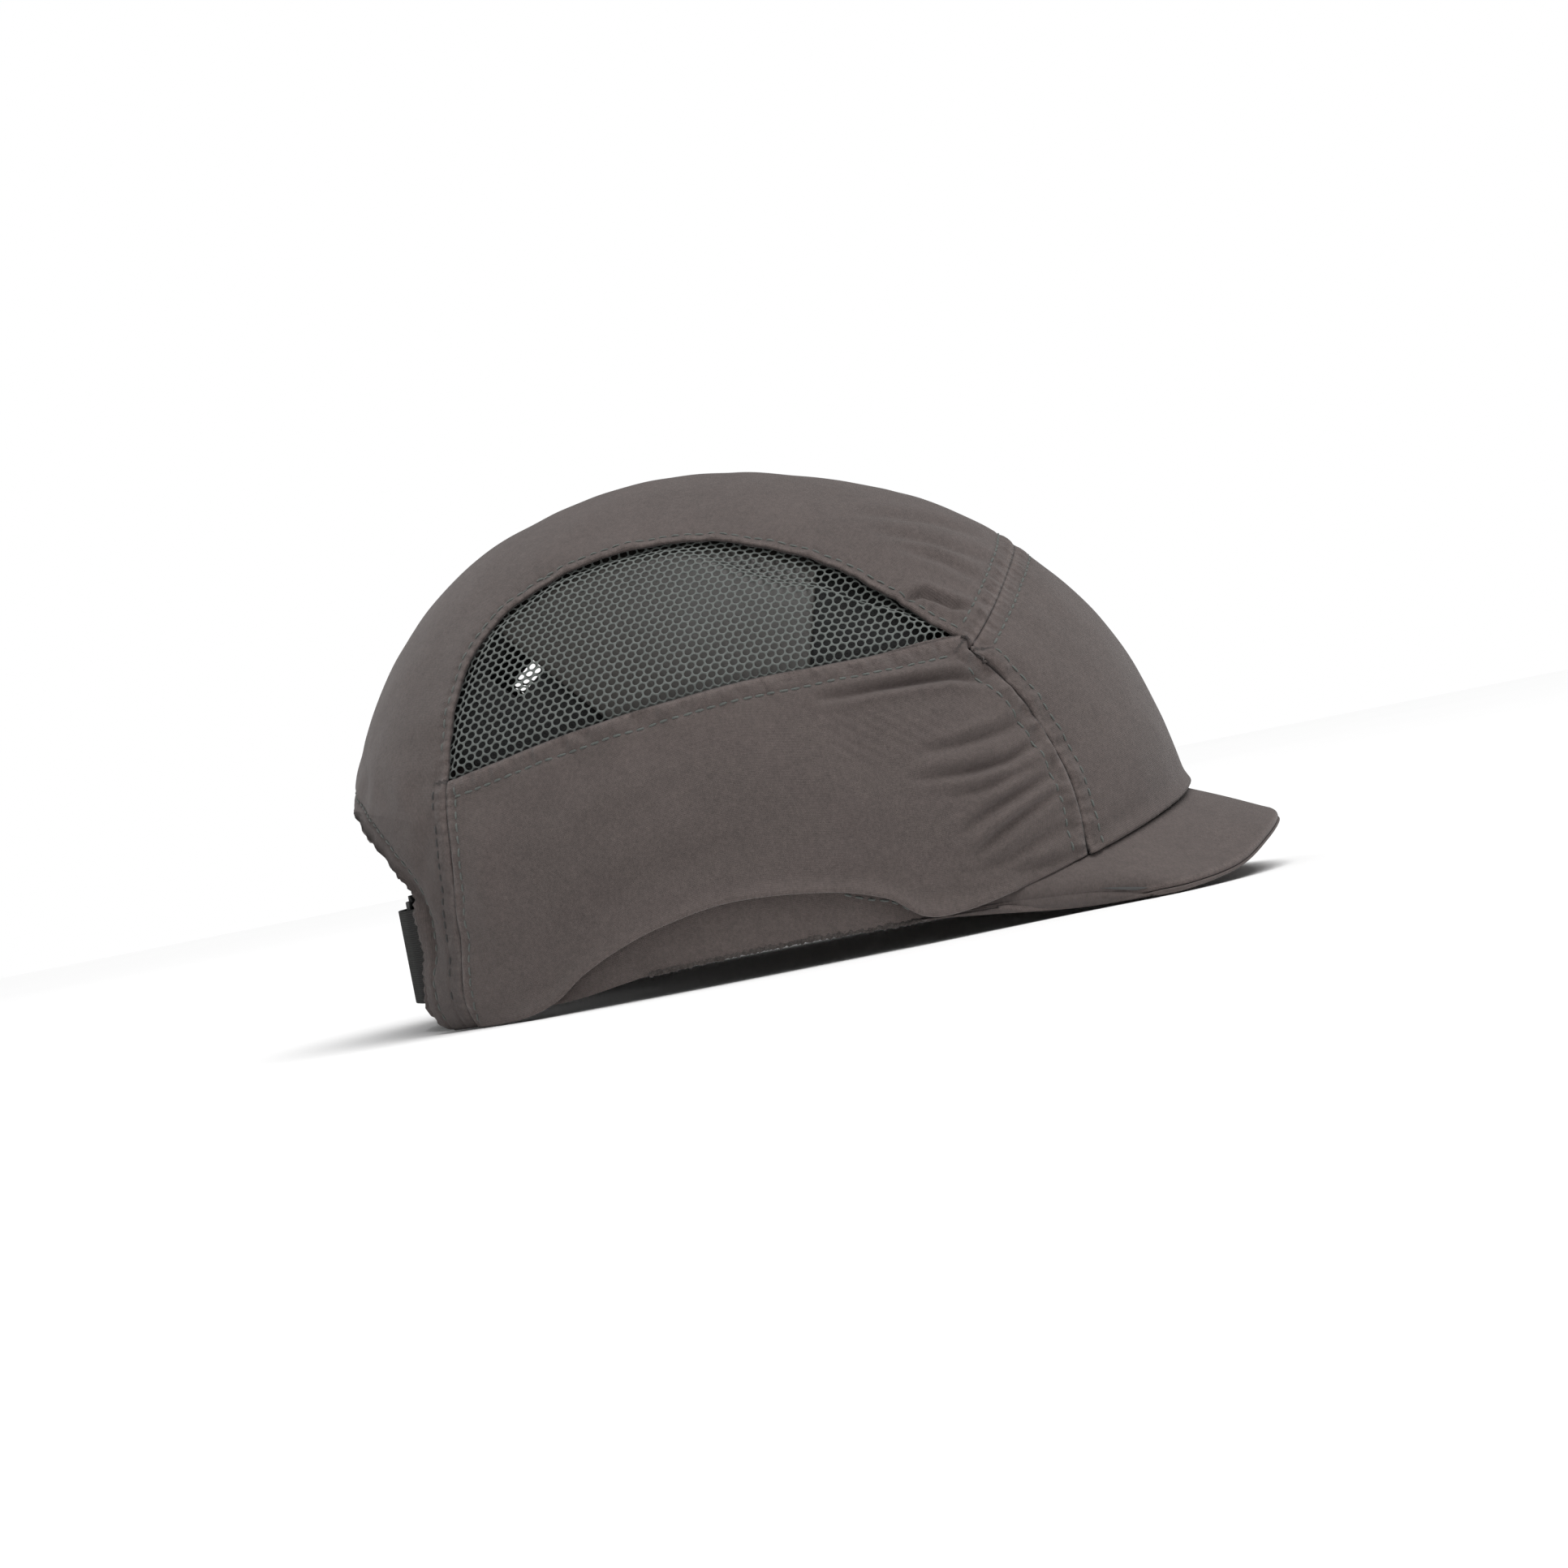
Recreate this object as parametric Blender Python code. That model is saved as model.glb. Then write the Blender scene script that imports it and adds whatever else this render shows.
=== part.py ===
"""Short-peaked bump cap: a sewn fabric cap over a vented shell and foam pads, with a
touch-and-close strap across the arch at the back.

The cap stands level on its peak and its two rear corners. The peak points to -Y, the
wearer's right is -X and +Z is up. A place on the crown is given either by a side-view
point (s, z), where s runs forward, or by a station and a share across: the station is
the angle round the side view, from 0 at the brow over the top to 180 at the nape, and
the share runs from 0 at the middle plane to 1 at the ear. Depths run inwards from the
outer skin. All lengths are in metres.
"""

import math

import bmesh
import bpy
from mathutils import Vector

# Crown: a side-view outline swept into a rounded dome.
HUB_S = -0.008
HUB_Z = 0.024
OUTLINE = ((0, 0.1077), (25, 0.1056), (55, 0.1042), (80, 0.1055), (105, 0.1124),
           (130, 0.1202), (150, 0.1206), (165, 0.1190), (180, 0.1130))
HALF_WIDTH = 0.088
FRONT_TAPER = 0.04
HEM_LEAN = 0.05
ROUNDNESS = 2.3
RISE_PER_DEGREE = 0.00188

# Lines where the panels are sewn together.
FRONT_SEAM_SHARE = 0.79
CROSS_SEAM_MIDDLE = 45.0
CROSS_SEAM_END = 41.0
MESH_FRONT_STATION = 45.0
MESH_REAR_STATION = 154.5
NAPE_STATION = 192.6
CROWN_EDGE = ((41, 0.785), (55, 0.78), (75, 0.72), (100, 0.652), (130, 0.625),
              (154.5, 0.71), (166, 0.738), (180, 0.70), (193, 0.66))
MESH_SILL = ((-0.057, 0.0698), (-0.017, 0.0737), (0.020, 0.0742))
RIM_BROW_Z = 0.0252
RIM_DROP = 0.0178
RIM_GAP = 0.0009
PEAK_HALF_WIDTH = 0.084
SIDE_HEM = ((-0.0958, 0.0001), (-0.0824, 0.0009), (-0.0736, 0.0036), (-0.0657, 0.0089),
            (-0.0557, 0.0136), (-0.0440, 0.0173), (-0.0262, 0.0200), (-0.0020, 0.0178),
            (0.0130, 0.0132), (0.0210, 0.0078), (0.0300, 0.0085), (0.0442, 0.0103))
EAR_HEM = ((-0.084, 0.0026), (-0.069, 0.0031), (-0.049, 0.0057), (-0.012, 0.0067),
           (0.019, 0.0064), (0.032, 0.0082), (0.044, 0.0102), (0.062, 0.0132))
EAR_BAND_TOP_Z = 0.0300

# Arch over the strap.
ARCH_STATION = 174.0
ARCH_HEIGHT_DEGREES = 12.5
ARCH_SHARE = 0.58
ARCH_FOOT_SHARE = 0.51
ELASTIC_DEGREES = 4.0
ELASTIC_SHARE = 0.085

# Peak.
PEAK_START_S = 0.036
PEAK_REACH = 0.0857
PEAK_SQUARENESS = 2.4
PEAK_EDGE = ((0, 0.0118), (0.3, 0.0103), (0.5, 0.0074), (0.7, 0.0022), (0.86, 0.0000),
             (0.95, 0.0012), (1, 0.0066))
PEAK_SWEEP_DEGREES = 85
PEAK_COVER = 0.0006
PEAK_BOARD = 0.0010
PEAK_MARGIN = 0.05
PEAK_GAP = 0.0006

# Layers, from the skin inwards.
GAP = 0.0003
CLOTH = 0.0012
MESH = 0.0008
TAPE_DEPTH = 0.0018
TAPE = 0.0006
BAND_DEPTH = 0.0018
BAND = 0.0014
SHELL_DEPTH = 0.0029
SHELL = 0.0020
PAD_DEPTH = 0.0055
PAD = 0.0055
SWEATBAND = 0.0026
SWEATBAND_TOP_STATION = 16.0

# Shell: a spider with a plate over each ear and a bay in front of and behind it.
SHELL_STATIONS = (10, 17, 24, 31, 38, 45, 52, 60, 68, 75, 82, 90, 98, 106, 114, 122,
                  130, 137, 144, 150, 156)
SHELL_SHARES = (0, 0.12, 0.25, 0.38, 0.5, 0.6, 0.7, 0.78, 0.86, 0.92, 0.96)
FRONT_BAY = (45, 75)
FRONT_BAY_SHARE = 0.70
REAR_BAY_STATION = 130
REAR_BAY_SHARE = 0.60

# Side pads fill the bays, apart from a short air slit at the rear.
SIDE_PAD_STATIONS = (48, 58, 68, 78, 88, 98, 108, 118, 128, 136.5, 144, 152)
SIDE_PAD_SHARES = (0.47, 0.55, 0.63, 0.75, 0.83, 0.92)
SLIT_STATIONS = (128, 136.5)
SLIT_SHARES = (0.63, 0.75)

# Strap: two concentric bands that slide round one upright axis.
STRAP_AXIS_S = -0.0205
STRAP_RADIUS = 0.0950
STRAP_LOW_Z = 0.0080
STRAP_WIDTH = 0.0250
STRAP_CLOTH = 0.0010
STRAP_PILE = 0.0007
STRAP_HIDDEN_END = 39.5
TAB_FOLD = 2.5
TAB_FOLD_GAP = 0.0007
TAB_END = 16.0
INNER_STRAP_END = 14.0
INNER_STRAP_DROP = 0.0035


def smooth(knots, at):
    """A smooth curve through the knots, read at one value."""
    last = len(knots) - 1
    span = 0
    while span < last - 1 and at > knots[span + 1][0]:
        span += 1

    def slope(i):
        before, after = knots[max(i - 1, 0)], knots[min(i + 1, last)]
        return (after[1] - before[1]) / (after[0] - before[0])

    (start, low), (end, high) = knots[span], knots[span + 1]
    width = end - start
    t = min(max((at - start) / width, 0.0), 1.0)
    rise = t * t * (3 - 2 * t)
    lead = width * slope(span) * t * (1 - t) ** 2
    tail = width * slope(span + 1) * t * t * (1 - t)
    return low + (high - low) * rise + lead - tail


def steps(start, end, count):
    """count + 1 evenly spaced values from start to end."""
    return [start + (end - start) * i / count for i in range(count + 1)]


def half_width(s, z):
    """Distance from the middle plane to the ear, at one height and place along."""
    return HALF_WIDTH - FRONT_TAPER * s - HEM_LEAN * max(0.0, HUB_Z - z)


def reach(s, z):
    """How far a side-view point lies from the hub towards the outline, as a share."""
    if z < HUB_Z:
        return abs(s - HUB_S) / smooth(OUTLINE, 0 if s > HUB_S else 180)
    angle = math.degrees(math.atan2(z - HUB_Z, s - HUB_S))
    return math.hypot(s - HUB_S, z - HUB_Z) / smooth(OUTLINE, angle)


def complement(share):
    """The other coordinate of the rounded section: 1 at the middle, 0 at the ear."""
    return max(0.0, 1 - abs(share) ** ROUNDNESS) ** (1 / ROUNDNESS)


def side_view(station, share):
    """The side-view point (s, z) of a station and a share across."""
    out = complement(share)
    turn = min(max(station, 0.0), 180.0)
    radius = out * smooth(OUTLINE, turn)
    s = HUB_S + radius * math.cos(math.radians(turn))
    z = HUB_Z + radius * math.sin(math.radians(turn))
    below = max(-station, station - 180, 0.0)
    return s, z - below * RISE_PER_DEGREE


def skin(station, share):
    """The skin point of a station and a share across, left side positive."""
    s, z = side_view(station, share)
    return Vector((share * half_width(s, z), -s, z))


def skin_over(s, z, side):
    """The skin point over a side-view point, on one side of the cap."""
    share = complement(min(reach(s, z), 1.0))
    return Vector((side * share * half_width(s, z), -s, z))


def outward(point):
    """Unit normal of the skin at a point on it."""
    def level(at):
        share = abs(at.x) / half_width(-at.y, at.z)
        return reach(-at.y, at.z) ** ROUNDNESS + share ** ROUNDNESS

    nudge = 0.0001
    slopes = []
    for axis in range(3):
        shift = Vector((0, 0, 0))
        shift[axis] = nudge
        slopes.append(level(point + shift) - level(point - shift))
    return Vector(slopes).normalized()


def finish(name, surface, material):
    """Turns a bmesh into a named object with outward faces and smooth shading."""
    bmesh.ops.recalc_face_normals(surface, faces=surface.faces)
    mesh = bpy.data.meshes.new(name)
    surface.to_mesh(mesh)
    surface.free()
    mesh.materials.append(material)
    mesh.shade_smooth()
    mesh.set_sharp_from_angle(angle=math.radians(40))
    item = bpy.data.objects.new(name, mesh)
    bpy.context.collection.objects.link(item)
    return item


def add_sheet(name, patches, inwards, depth, thickness, material):
    """A closed sheet over patches of skin points; patches share their equal points."""
    surface = bmesh.new()
    tops, floors, cells = {}, {}, []

    def key_of(point):
        key = tuple(round(value * 1e6) for value in point)
        if key not in tops:
            top = depth(point) if callable(depth) else depth
            direction = inwards(point)
            tops[key] = surface.verts.new(point + direction * top)
            floors[key] = surface.verts.new(point + direction * (top + thickness))
        return key

    for patch, keep in patches:
        for i in range(len(patch) - 1):
            for j in range(len(patch[0]) - 1):
                if not keep(i, j):
                    continue
                corners = (patch[i][j], patch[i + 1][j], patch[i + 1][j + 1], patch[i][j + 1])
                cell = list(dict.fromkeys(key_of(corner) for corner in corners))
                if len(cell) > 2:
                    cells.append(cell)
    edges = {}
    for cell in cells:
        surface.faces.new([tops[key] for key in cell])
        surface.faces.new([floors[key] for key in reversed(cell)])
        for a, b in zip(cell, cell[1:] + cell[:1]):
            edge = frozenset((a, b))
            edges[edge] = None if edge in edges else (a, b)
    for border in filter(None, edges.values()):
        a, b = border
        surface.faces.new((tops[b], tops[a], floors[a], floors[b]))
    return finish(name, surface, material)


def everywhere(i, j):
    """Keeps every cell of a patch."""
    return True


def into_cap(point):
    """Direction of depth on the crown."""
    return -outward(point)


def crown_sheet(name, patch, depth, thickness, material, keep=everywhere):
    """A sheet over one patch of the crown."""
    return add_sheet(name, [(patch, keep)], into_cap, depth, thickness, material)


def band_of(stations, shares):
    """A patch of the crown between stations and shares."""
    return [[skin(station, share) for share in shares] for station in stations]


def rim_z(x):
    """Height of the seam between the crown and the peak."""
    return RIM_BROW_Z - RIM_DROP * (x / PEAK_HALF_WIDTH) ** 2


def rim_station(share):
    """Station of the same seam."""
    return (rim_z(share * HALF_WIDTH) + RIM_GAP - HUB_Z) / RISE_PER_DEGREE


def cross_seam(share):
    """Station of the seam that crosses the crown behind the front panel."""
    bow = (share / FRONT_SEAM_SHARE) ** 2
    return CROSS_SEAM_MIDDLE - (CROSS_SEAM_MIDDLE - CROSS_SEAM_END) * bow


def arch_share(station):
    """Share across of the arch's edge, zero above the arch."""
    if station >= ARCH_STATION:
        fall = (station - ARCH_STATION) / (NAPE_STATION - ARCH_STATION)
        return ARCH_SHARE + (ARCH_FOOT_SHARE - ARCH_SHARE) * fall
    height = min((ARCH_STATION - station) / ARCH_HEIGHT_DEGREES, 1.0)
    return ARCH_SHARE * math.sqrt(1 - height ** 2)


def add_front_panel(cloth):
    """The brow panel, from the peak up to the cross seam."""
    share = FRONT_SEAM_SHARE - GAP / HALF_WIDTH
    shares = steps(-share, share, 18)
    patch = []
    for rise in steps(0, 1, 12):
        low_to_high = [rim_station(x) + (cross_seam(x) - rim_station(x)) * rise for x in shares]
        patch.append([skin(at, x) for at, x in zip(low_to_high, shares)])
    crown_sheet("front_panel", patch, 0, CLOTH, cloth)


def add_crown_panel(cloth):
    """The panel from the cross seam over the top to both feet beside the arch."""
    apex = ARCH_STATION - ARCH_HEIGHT_DEGREES
    rows = steps(0, 1, 20)
    arch_rows = (apex + 0.4, apex + 1.6, apex + 3.6, apex + 7, ARCH_STATION, 179, 184, 188)
    patches = []
    seam_gap = math.degrees(GAP / OUTLINE[2][1]) * 1.5
    for side in (-1, 1):
        patch = []
        for row in rows:
            line = []
            for column in steps(0, 1, 9):
                start_share = column * smooth(CROWN_EDGE, CROSS_SEAM_END)
                start = cross_seam(start_share) + seam_gap
                station = start + (apex - start) * row
                line.append(skin(station, side * column * smooth(CROWN_EDGE, station)))
            patch.append(line)
        for station in (*arch_rows, NAPE_STATION):
            inner, outer = arch_share(station), smooth(CROWN_EDGE, station)
            patch.append([skin(station, side * x) for x in steps(inner, outer, 9)])
        patches.append((patch, everywhere))
    add_sheet("crown_panel", patches, into_cap, 0, CLOTH, cloth)


def crown_edge_point(station, margin):
    """Side-view point a small margin outside the crown panel's edge."""
    return side_view(station, smooth(CROWN_EDGE, station) + margin)


def sill_knots(margin):
    """The line between the mesh and the side panel, from the rear to the front."""
    rear = crown_edge_point(MESH_REAR_STATION, margin)
    front = crown_edge_point(MESH_FRONT_STATION, margin)
    return [rear, *MESH_SILL, front]


def add_mesh_panel(name, side, net):
    """The lens of open net between the crown panel and the side panel."""
    margin = 2 * GAP / HALF_WIDTH
    sill = sill_knots(margin)
    patch = []
    for along in steps(0.015, 0.985, 20):
        station = MESH_REAR_STATION + (MESH_FRONT_STATION - MESH_REAR_STATION) * along
        top_s, top_z = crown_edge_point(station, margin)
        s = sill[0][0] + (sill[-1][0] - sill[0][0]) * along
        z = smooth(sill, s) + 2 * GAP
        rises = steps(0, 1, 7)
        patch.append([skin_over(s + (top_s - s) * v, z + (top_z - z) * v, side) for v in rises])
    crown_sheet(name, patch, 0, MESH, net)


def add_side_panel(name, side, cloth):
    """The four-sided panel over the ear, with the raised arch in its hem."""
    margin = 1.5 * GAP / HALF_WIDTH
    front_share = FRONT_SEAM_SHARE + margin
    front_foot = rim_station(front_share)

    def rear(v):
        return crown_edge_point(NAPE_STATION + (MESH_REAR_STATION - NAPE_STATION) * v, margin)

    def front(v):
        return side_view(front_foot + (CROSS_SEAM_END - front_foot) * v, front_share)

    hem = [rear(0), *SIDE_HEM, front(0)]
    sill = [rear(1), *MESH_SILL, crown_edge_point(MESH_FRONT_STATION, margin), front(1)]
    columns = steps(0, 1, 26)
    patch = []
    for v in steps(0, 1, 12):
        line = []
        for u in columns:
            hem_s = hem[0][0] + (hem[-1][0] - hem[0][0]) * u
            sill_s = sill[0][0] + (sill[-1][0] - sill[0][0]) * u
            hem_at = Vector((hem_s, smooth(hem, hem_s)))
            sill_at = Vector((sill_s, smooth(sill, sill_s)))
            across = Vector(rear(v)) * (1 - u) + Vector(front(v)) * u
            low = Vector(hem[0]) * (1 - u) + Vector(hem[-1]) * u
            high = Vector(sill[0]) * (1 - u) + Vector(sill[-1]) * u
            at = across + (hem_at - low) * (1 - v) + (sill_at - high) * v
            line.append(skin_over(at.x, at.y, side))
        patch.append(line)
    crown_sheet(name, patch, 0, CLOTH, cloth)


def add_ear_band(name, side, cloth):
    """The headband that shows below the side panel's hem."""
    columns = steps(EAR_HEM[0][0], EAR_HEM[-1][0], 22)
    patch = []
    for rise in steps(0, 1, 4):
        line = []
        for s in columns:
            low = smooth(EAR_HEM, s)
            line.append(skin_over(s, low + (EAR_BAND_TOP_Z - low) * rise, side))
        patch.append(line)
    crown_sheet(name, patch, BAND_DEPTH, BAND, cloth)


def add_sweatband(terry):
    """The brow band, sewn in at the rim and running up behind the shell's front edge."""
    share = FRONT_SEAM_SHARE - 0.02
    shares = steps(-share, share, 18)
    low_z = rim_z(share * HALF_WIDTH)
    high_z = skin(SWEATBAND_TOP_STATION, 0).z

    def depth(point):
        climb = (point.z - low_z) / (high_z - low_z)
        return BAND_DEPTH + (PAD_DEPTH - BAND_DEPTH) * min(2.2 * climb, 1.0)

    patch = []
    for rise in steps(0, 1, 6):
        line = []
        for x in shares:
            low = rim_station(x) + 0.5
            line.append(skin(low + (SWEATBAND_TOP_STATION - low) * rise, x))
        patch.append(line)
    crown_sheet("front_sweatband", patch, depth, SWEATBAND, terry)


def add_seam_tapes(tape):
    """Binding tapes behind the cross seam and the two front seams."""
    half = math.degrees(0.006 / OUTLINE[2][1])
    shares = steps(-0.74, 0.74, 20)
    crossing = [[skin(cross_seam(x) + at, x) for x in shares] for at in steps(-half, half, 2)]
    crown_sheet("cross_seam_tape", crossing, TAPE_DEPTH, TAPE, tape)
    for name, side in (("front_seam_tape_right", -1), ("front_seam_tape_left", 1)):
        shares = [side * x for x in steps(FRONT_SEAM_SHARE - 0.035, FRONT_SEAM_SHARE + 0.06, 2)]
        patch = band_of(steps(7, CROSS_SEAM_END - 4, 8), shares)
        crown_sheet(name, patch, TAPE_DEPTH, TAPE, tape)


def add_arch_elastic(elastic):
    """The gathered elastic inside the edge of the arch."""
    foot = (arch_share(NAPE_STATION), NAPE_STATION - 1.5)
    patch = []
    for grow in steps(0, 1, 2):
        line = []
        share = ARCH_SHARE + ELASTIC_SHARE * grow
        degrees = ARCH_HEIGHT_DEGREES + ELASTIC_DEGREES * grow
        for side in (-1, 1):
            leg = []
            for down in steps(1, 0.2, 4):
                low = foot[0] + ELASTIC_SHARE * grow
                leg.append((ARCH_STATION + (foot[1] - ARCH_STATION) * down,
                            side * (share + (low - share) * down)))
            curve = []
            for turn in steps(90, 0, 8):
                angle = math.radians(turn)
                curve.append((ARCH_STATION - degrees * math.cos(angle), side * share * math.sin(angle)))
            run = leg + curve
            line += run if side < 0 else run[-2::-1]
        patch.append([skin(station, x) for station, x in line])
    crown_sheet("arch_elastic", patch, BAND_DEPTH, 0.0010, elastic)


def add_shell(plastic):
    """The vented bump shell."""
    shares = [-x for x in SHELL_SHARES[:0:-1]] + list(SHELL_SHARES)

    def keep(i, j):
        station = (SHELL_STATIONS[i] + SHELL_STATIONS[i + 1]) / 2
        share = abs(shares[j] + shares[j + 1]) / 2
        in_front_bay = FRONT_BAY[0] < station < FRONT_BAY[1] and share > FRONT_BAY_SHARE
        in_rear_bay = station > REAR_BAY_STATION and share > REAR_BAY_SHARE
        return not in_front_bay and not in_rear_bay

    crown_sheet("bump_shell", band_of(SHELL_STATIONS, shares), SHELL_DEPTH, SHELL, plastic, keep)


def add_pads(foam):
    """The foam pads inside the shell."""
    front = band_of(steps(19, 43, 5), steps(-0.60, 0.60, 10))
    crown_sheet("front_pad", front, PAD_DEPTH, PAD, foam)
    top = band_of(steps(50, 118, 10), steps(-0.42, 0.42, 6))
    crown_sheet("crown_pad", top, PAD_DEPTH, PAD, foam)
    rear = band_of(steps(123, 153, 5), steps(-0.42, 0.42, 6))
    crown_sheet("rear_pad", rear, PAD_DEPTH, PAD, foam)

    def keep(i, j):
        station = (SIDE_PAD_STATIONS[i] + SIDE_PAD_STATIONS[i + 1]) / 2
        share = (SIDE_PAD_SHARES[j] + SIDE_PAD_SHARES[j + 1]) / 2
        along = SLIT_STATIONS[0] < station < SLIT_STATIONS[1]
        across = SLIT_SHARES[0] < share < SLIT_SHARES[1]
        return not (along and across)

    for name, side in (("side_pad_right", -1), ("side_pad_left", 1)):
        patch = band_of(SIDE_PAD_STATIONS, [side * x for x in SIDE_PAD_SHARES])
        crown_sheet(name, patch, PAD_DEPTH, PAD, foam, keep)


def peak_point(angle, out):
    """A point of the peak's top face: out is 0 at the rim and 1 at the edge."""
    turn = math.radians(angle)
    inner_x = PEAK_HALF_WIDTH * math.sin(turn)
    inner_z = rim_z(inner_x)
    share = inner_x / half_width(PEAK_START_S, inner_z)
    inner_s = HUB_S + complement(share) * smooth(OUTLINE, 0)
    inner = Vector((inner_x, -inner_s, inner_z))
    inner -= CLOTH * outward(inner)
    power = 2 / PEAK_SQUARENESS
    edge_share = abs(math.sin(turn)) ** power
    edge_x = math.copysign(PEAK_HALF_WIDTH * edge_share, angle)
    edge_s = PEAK_START_S + PEAK_REACH * math.cos(turn) ** power
    thickness = 2 * PEAK_COVER + PEAK_BOARD + 2 * PEAK_GAP
    edge = Vector((edge_x, -edge_s, smooth(PEAK_EDGE, edge_share) + thickness))
    return inner.lerp(edge, out)


def add_peak(cloth, board):
    """The peak: a stiff board between two fabric covers."""
    angles = steps(-PEAK_SWEEP_DEGREES, PEAK_SWEEP_DEGREES, 30)
    below = {}

    def patch_of(margin):
        points = []
        for out in steps(margin, 1 - margin, 5):
            line = []
            for angle in angles:
                point = peak_point(angle * (1 - margin), out)
                ahead = peak_point(angle * (1 - margin), out + 0.05) - point
                beside = peak_point(angle * (1 - margin) + 0.5, out) - point
                below[tuple(point)] = ahead.cross(beside).normalized()
                line.append(point)
            points.append(line)
        return [(points, everywhere)]

    def downwards(point):
        normal = below[tuple(point)]
        return normal if normal.z < 0 else -normal

    depth = 0.0
    layers = (("peak_top_cover", PEAK_COVER, cloth, 0), ("peak_board", PEAK_BOARD, board, PEAK_MARGIN),
              ("peak_under_cover", PEAK_COVER, cloth, 0))
    for name, thickness, material, margin in layers:
        add_sheet(name, patch_of(margin), downwards, depth, thickness, material)
        depth += thickness + PEAK_GAP


def strap_point(angle, radius, z):
    """A point of the strap: the angle is 0 at the back and positive to the left."""
    turn = math.radians(angle)
    return Vector((radius * math.sin(turn), -STRAP_AXIS_S + radius * math.cos(turn), z))


def add_strap_piece(name, radius, thickness, start, end, low, high, material, pivot):
    """A curved strip of the strap, with its origin on its joint's axis."""
    count = max(2, round(abs(end - start) / 3))
    patch = []
    for z in (low, high):
        patch.append([strap_point(angle, radius, z) - pivot for angle in steps(start, end, count)])

    def inwards(point):
        flat = point + pivot - strap_point(0, 0, 0)
        return -Vector((flat.x, flat.y, 0)).normalized()

    item = add_sheet(name, [(patch, everywhere)], inwards, 0, thickness, material)
    item.location = pivot
    return item


def add_strap(webbing, hook, loop):
    """The closing strap: outer half with hooks on its tab, inner half with loops."""
    low, high = STRAP_LOW_Z, STRAP_LOW_Z + STRAP_WIDTH
    axis = strap_point(0, 0, low)
    fold = strap_point(-TAB_FOLD, STRAP_RADIUS - STRAP_CLOTH / 2, low)
    edge = math.degrees(TAB_FOLD_GAP / STRAP_RADIUS)
    add_strap_piece("right_strap", STRAP_RADIUS, STRAP_CLOTH, -STRAP_HIDDEN_END,
                    -TAB_FOLD - edge, low, high, webbing, axis)
    add_strap_piece("strap_tab", STRAP_RADIUS, STRAP_CLOTH, -TAB_FOLD + edge,
                    TAB_END, low, high, webbing, fold)
    hook_radius = STRAP_RADIUS - STRAP_CLOTH - GAP
    margin = 0.0015
    add_strap_piece("hook_patch", hook_radius, STRAP_PILE, 1.0, TAB_END - 1.0,
                    low + margin, high - margin, hook, fold)
    loop_radius = hook_radius - STRAP_PILE - GAP
    inner_low = low + INNER_STRAP_DROP
    inner_high = high + INNER_STRAP_DROP
    add_strap_piece("loop_patch", loop_radius, STRAP_PILE, -INNER_STRAP_END + 1.0,
                    TAB_END + 6.0, inner_low + margin, inner_high - margin, loop, axis)
    inner_radius = loop_radius - STRAP_PILE - GAP
    add_strap_piece("left_strap", inner_radius, STRAP_CLOTH, -INNER_STRAP_END,
                    STRAP_HIDDEN_END, inner_low, inner_high, webbing, axis)


def material(name, colour, roughness):
    """A plain material."""
    made = bpy.data.materials.new(name)
    made.use_nodes = True
    shader = made.node_tree.nodes["Principled BSDF"]
    shader.inputs["Base Color"].default_value = (*colour, 1)
    shader.inputs["Roughness"].default_value = roughness
    made.diffuse_color = (*colour, 1)
    return made


def main():
    """Clears the scene and builds the cap."""
    for item in list(bpy.data.objects):
        bpy.data.objects.remove(item)
    cloth = material("cap_cloth", (0.115, 0.098, 0.092), 0.9)
    net = material("air_mesh", (0.13, 0.15, 0.145), 0.7)
    terry = material("terry", (0.10, 0.087, 0.082), 1.0)
    tape = material("seam_tape", (0.09, 0.078, 0.073), 0.9)
    elastic = material("elastic", (0.08, 0.07, 0.066), 0.9)
    plastic = material("shell_plastic", (0.09, 0.08, 0.075), 0.5)
    foam = material("foam", (0.02, 0.02, 0.02), 0.95)
    board = material("peak_board", (0.05, 0.05, 0.05), 0.6)
    webbing = material("webbing", (0.016, 0.018, 0.016), 0.85)
    hook = material("hook_pile", (0.012, 0.013, 0.012), 0.8)
    loop = material("loop_pile", (0.018, 0.02, 0.018), 1.0)
    add_front_panel(cloth)
    add_crown_panel(cloth)
    for word, side in (("right", -1), ("left", 1)):
        add_mesh_panel("mesh_panel_" + word, side, net)
        add_side_panel("side_panel_" + word, side, cloth)
        add_ear_band("ear_band_" + word, side, cloth)
    add_sweatband(terry)
    add_seam_tapes(tape)
    add_arch_elastic(elastic)
    add_shell(plastic)
    add_pads(foam)
    add_peak(cloth, board)
    add_strap(webbing, hook, loop)


main()
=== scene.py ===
"""Looks of the bump cap: sewn cloth, net, foam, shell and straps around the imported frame.

The peak points to -Y, the wearer's right is -X and +Z is up. As in the CAD, a place on the
crown is a side-view point (s, z), where s runs forward, or a station (degrees round the
side view, from the brow over the top) and a share across (0 at the middle, 1 at the ear).
Depths run inwards from the outer skin. Lengths are in metres, apart from the tables of
folds and creases, which are in millimetres.
"""

import math
import random

import bpy
import numpy as np
from mathutils import Matrix, Vector, noise
from mathutils.bvhtree import BVHTree
from mathutils.kdtree import KDTree


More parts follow.
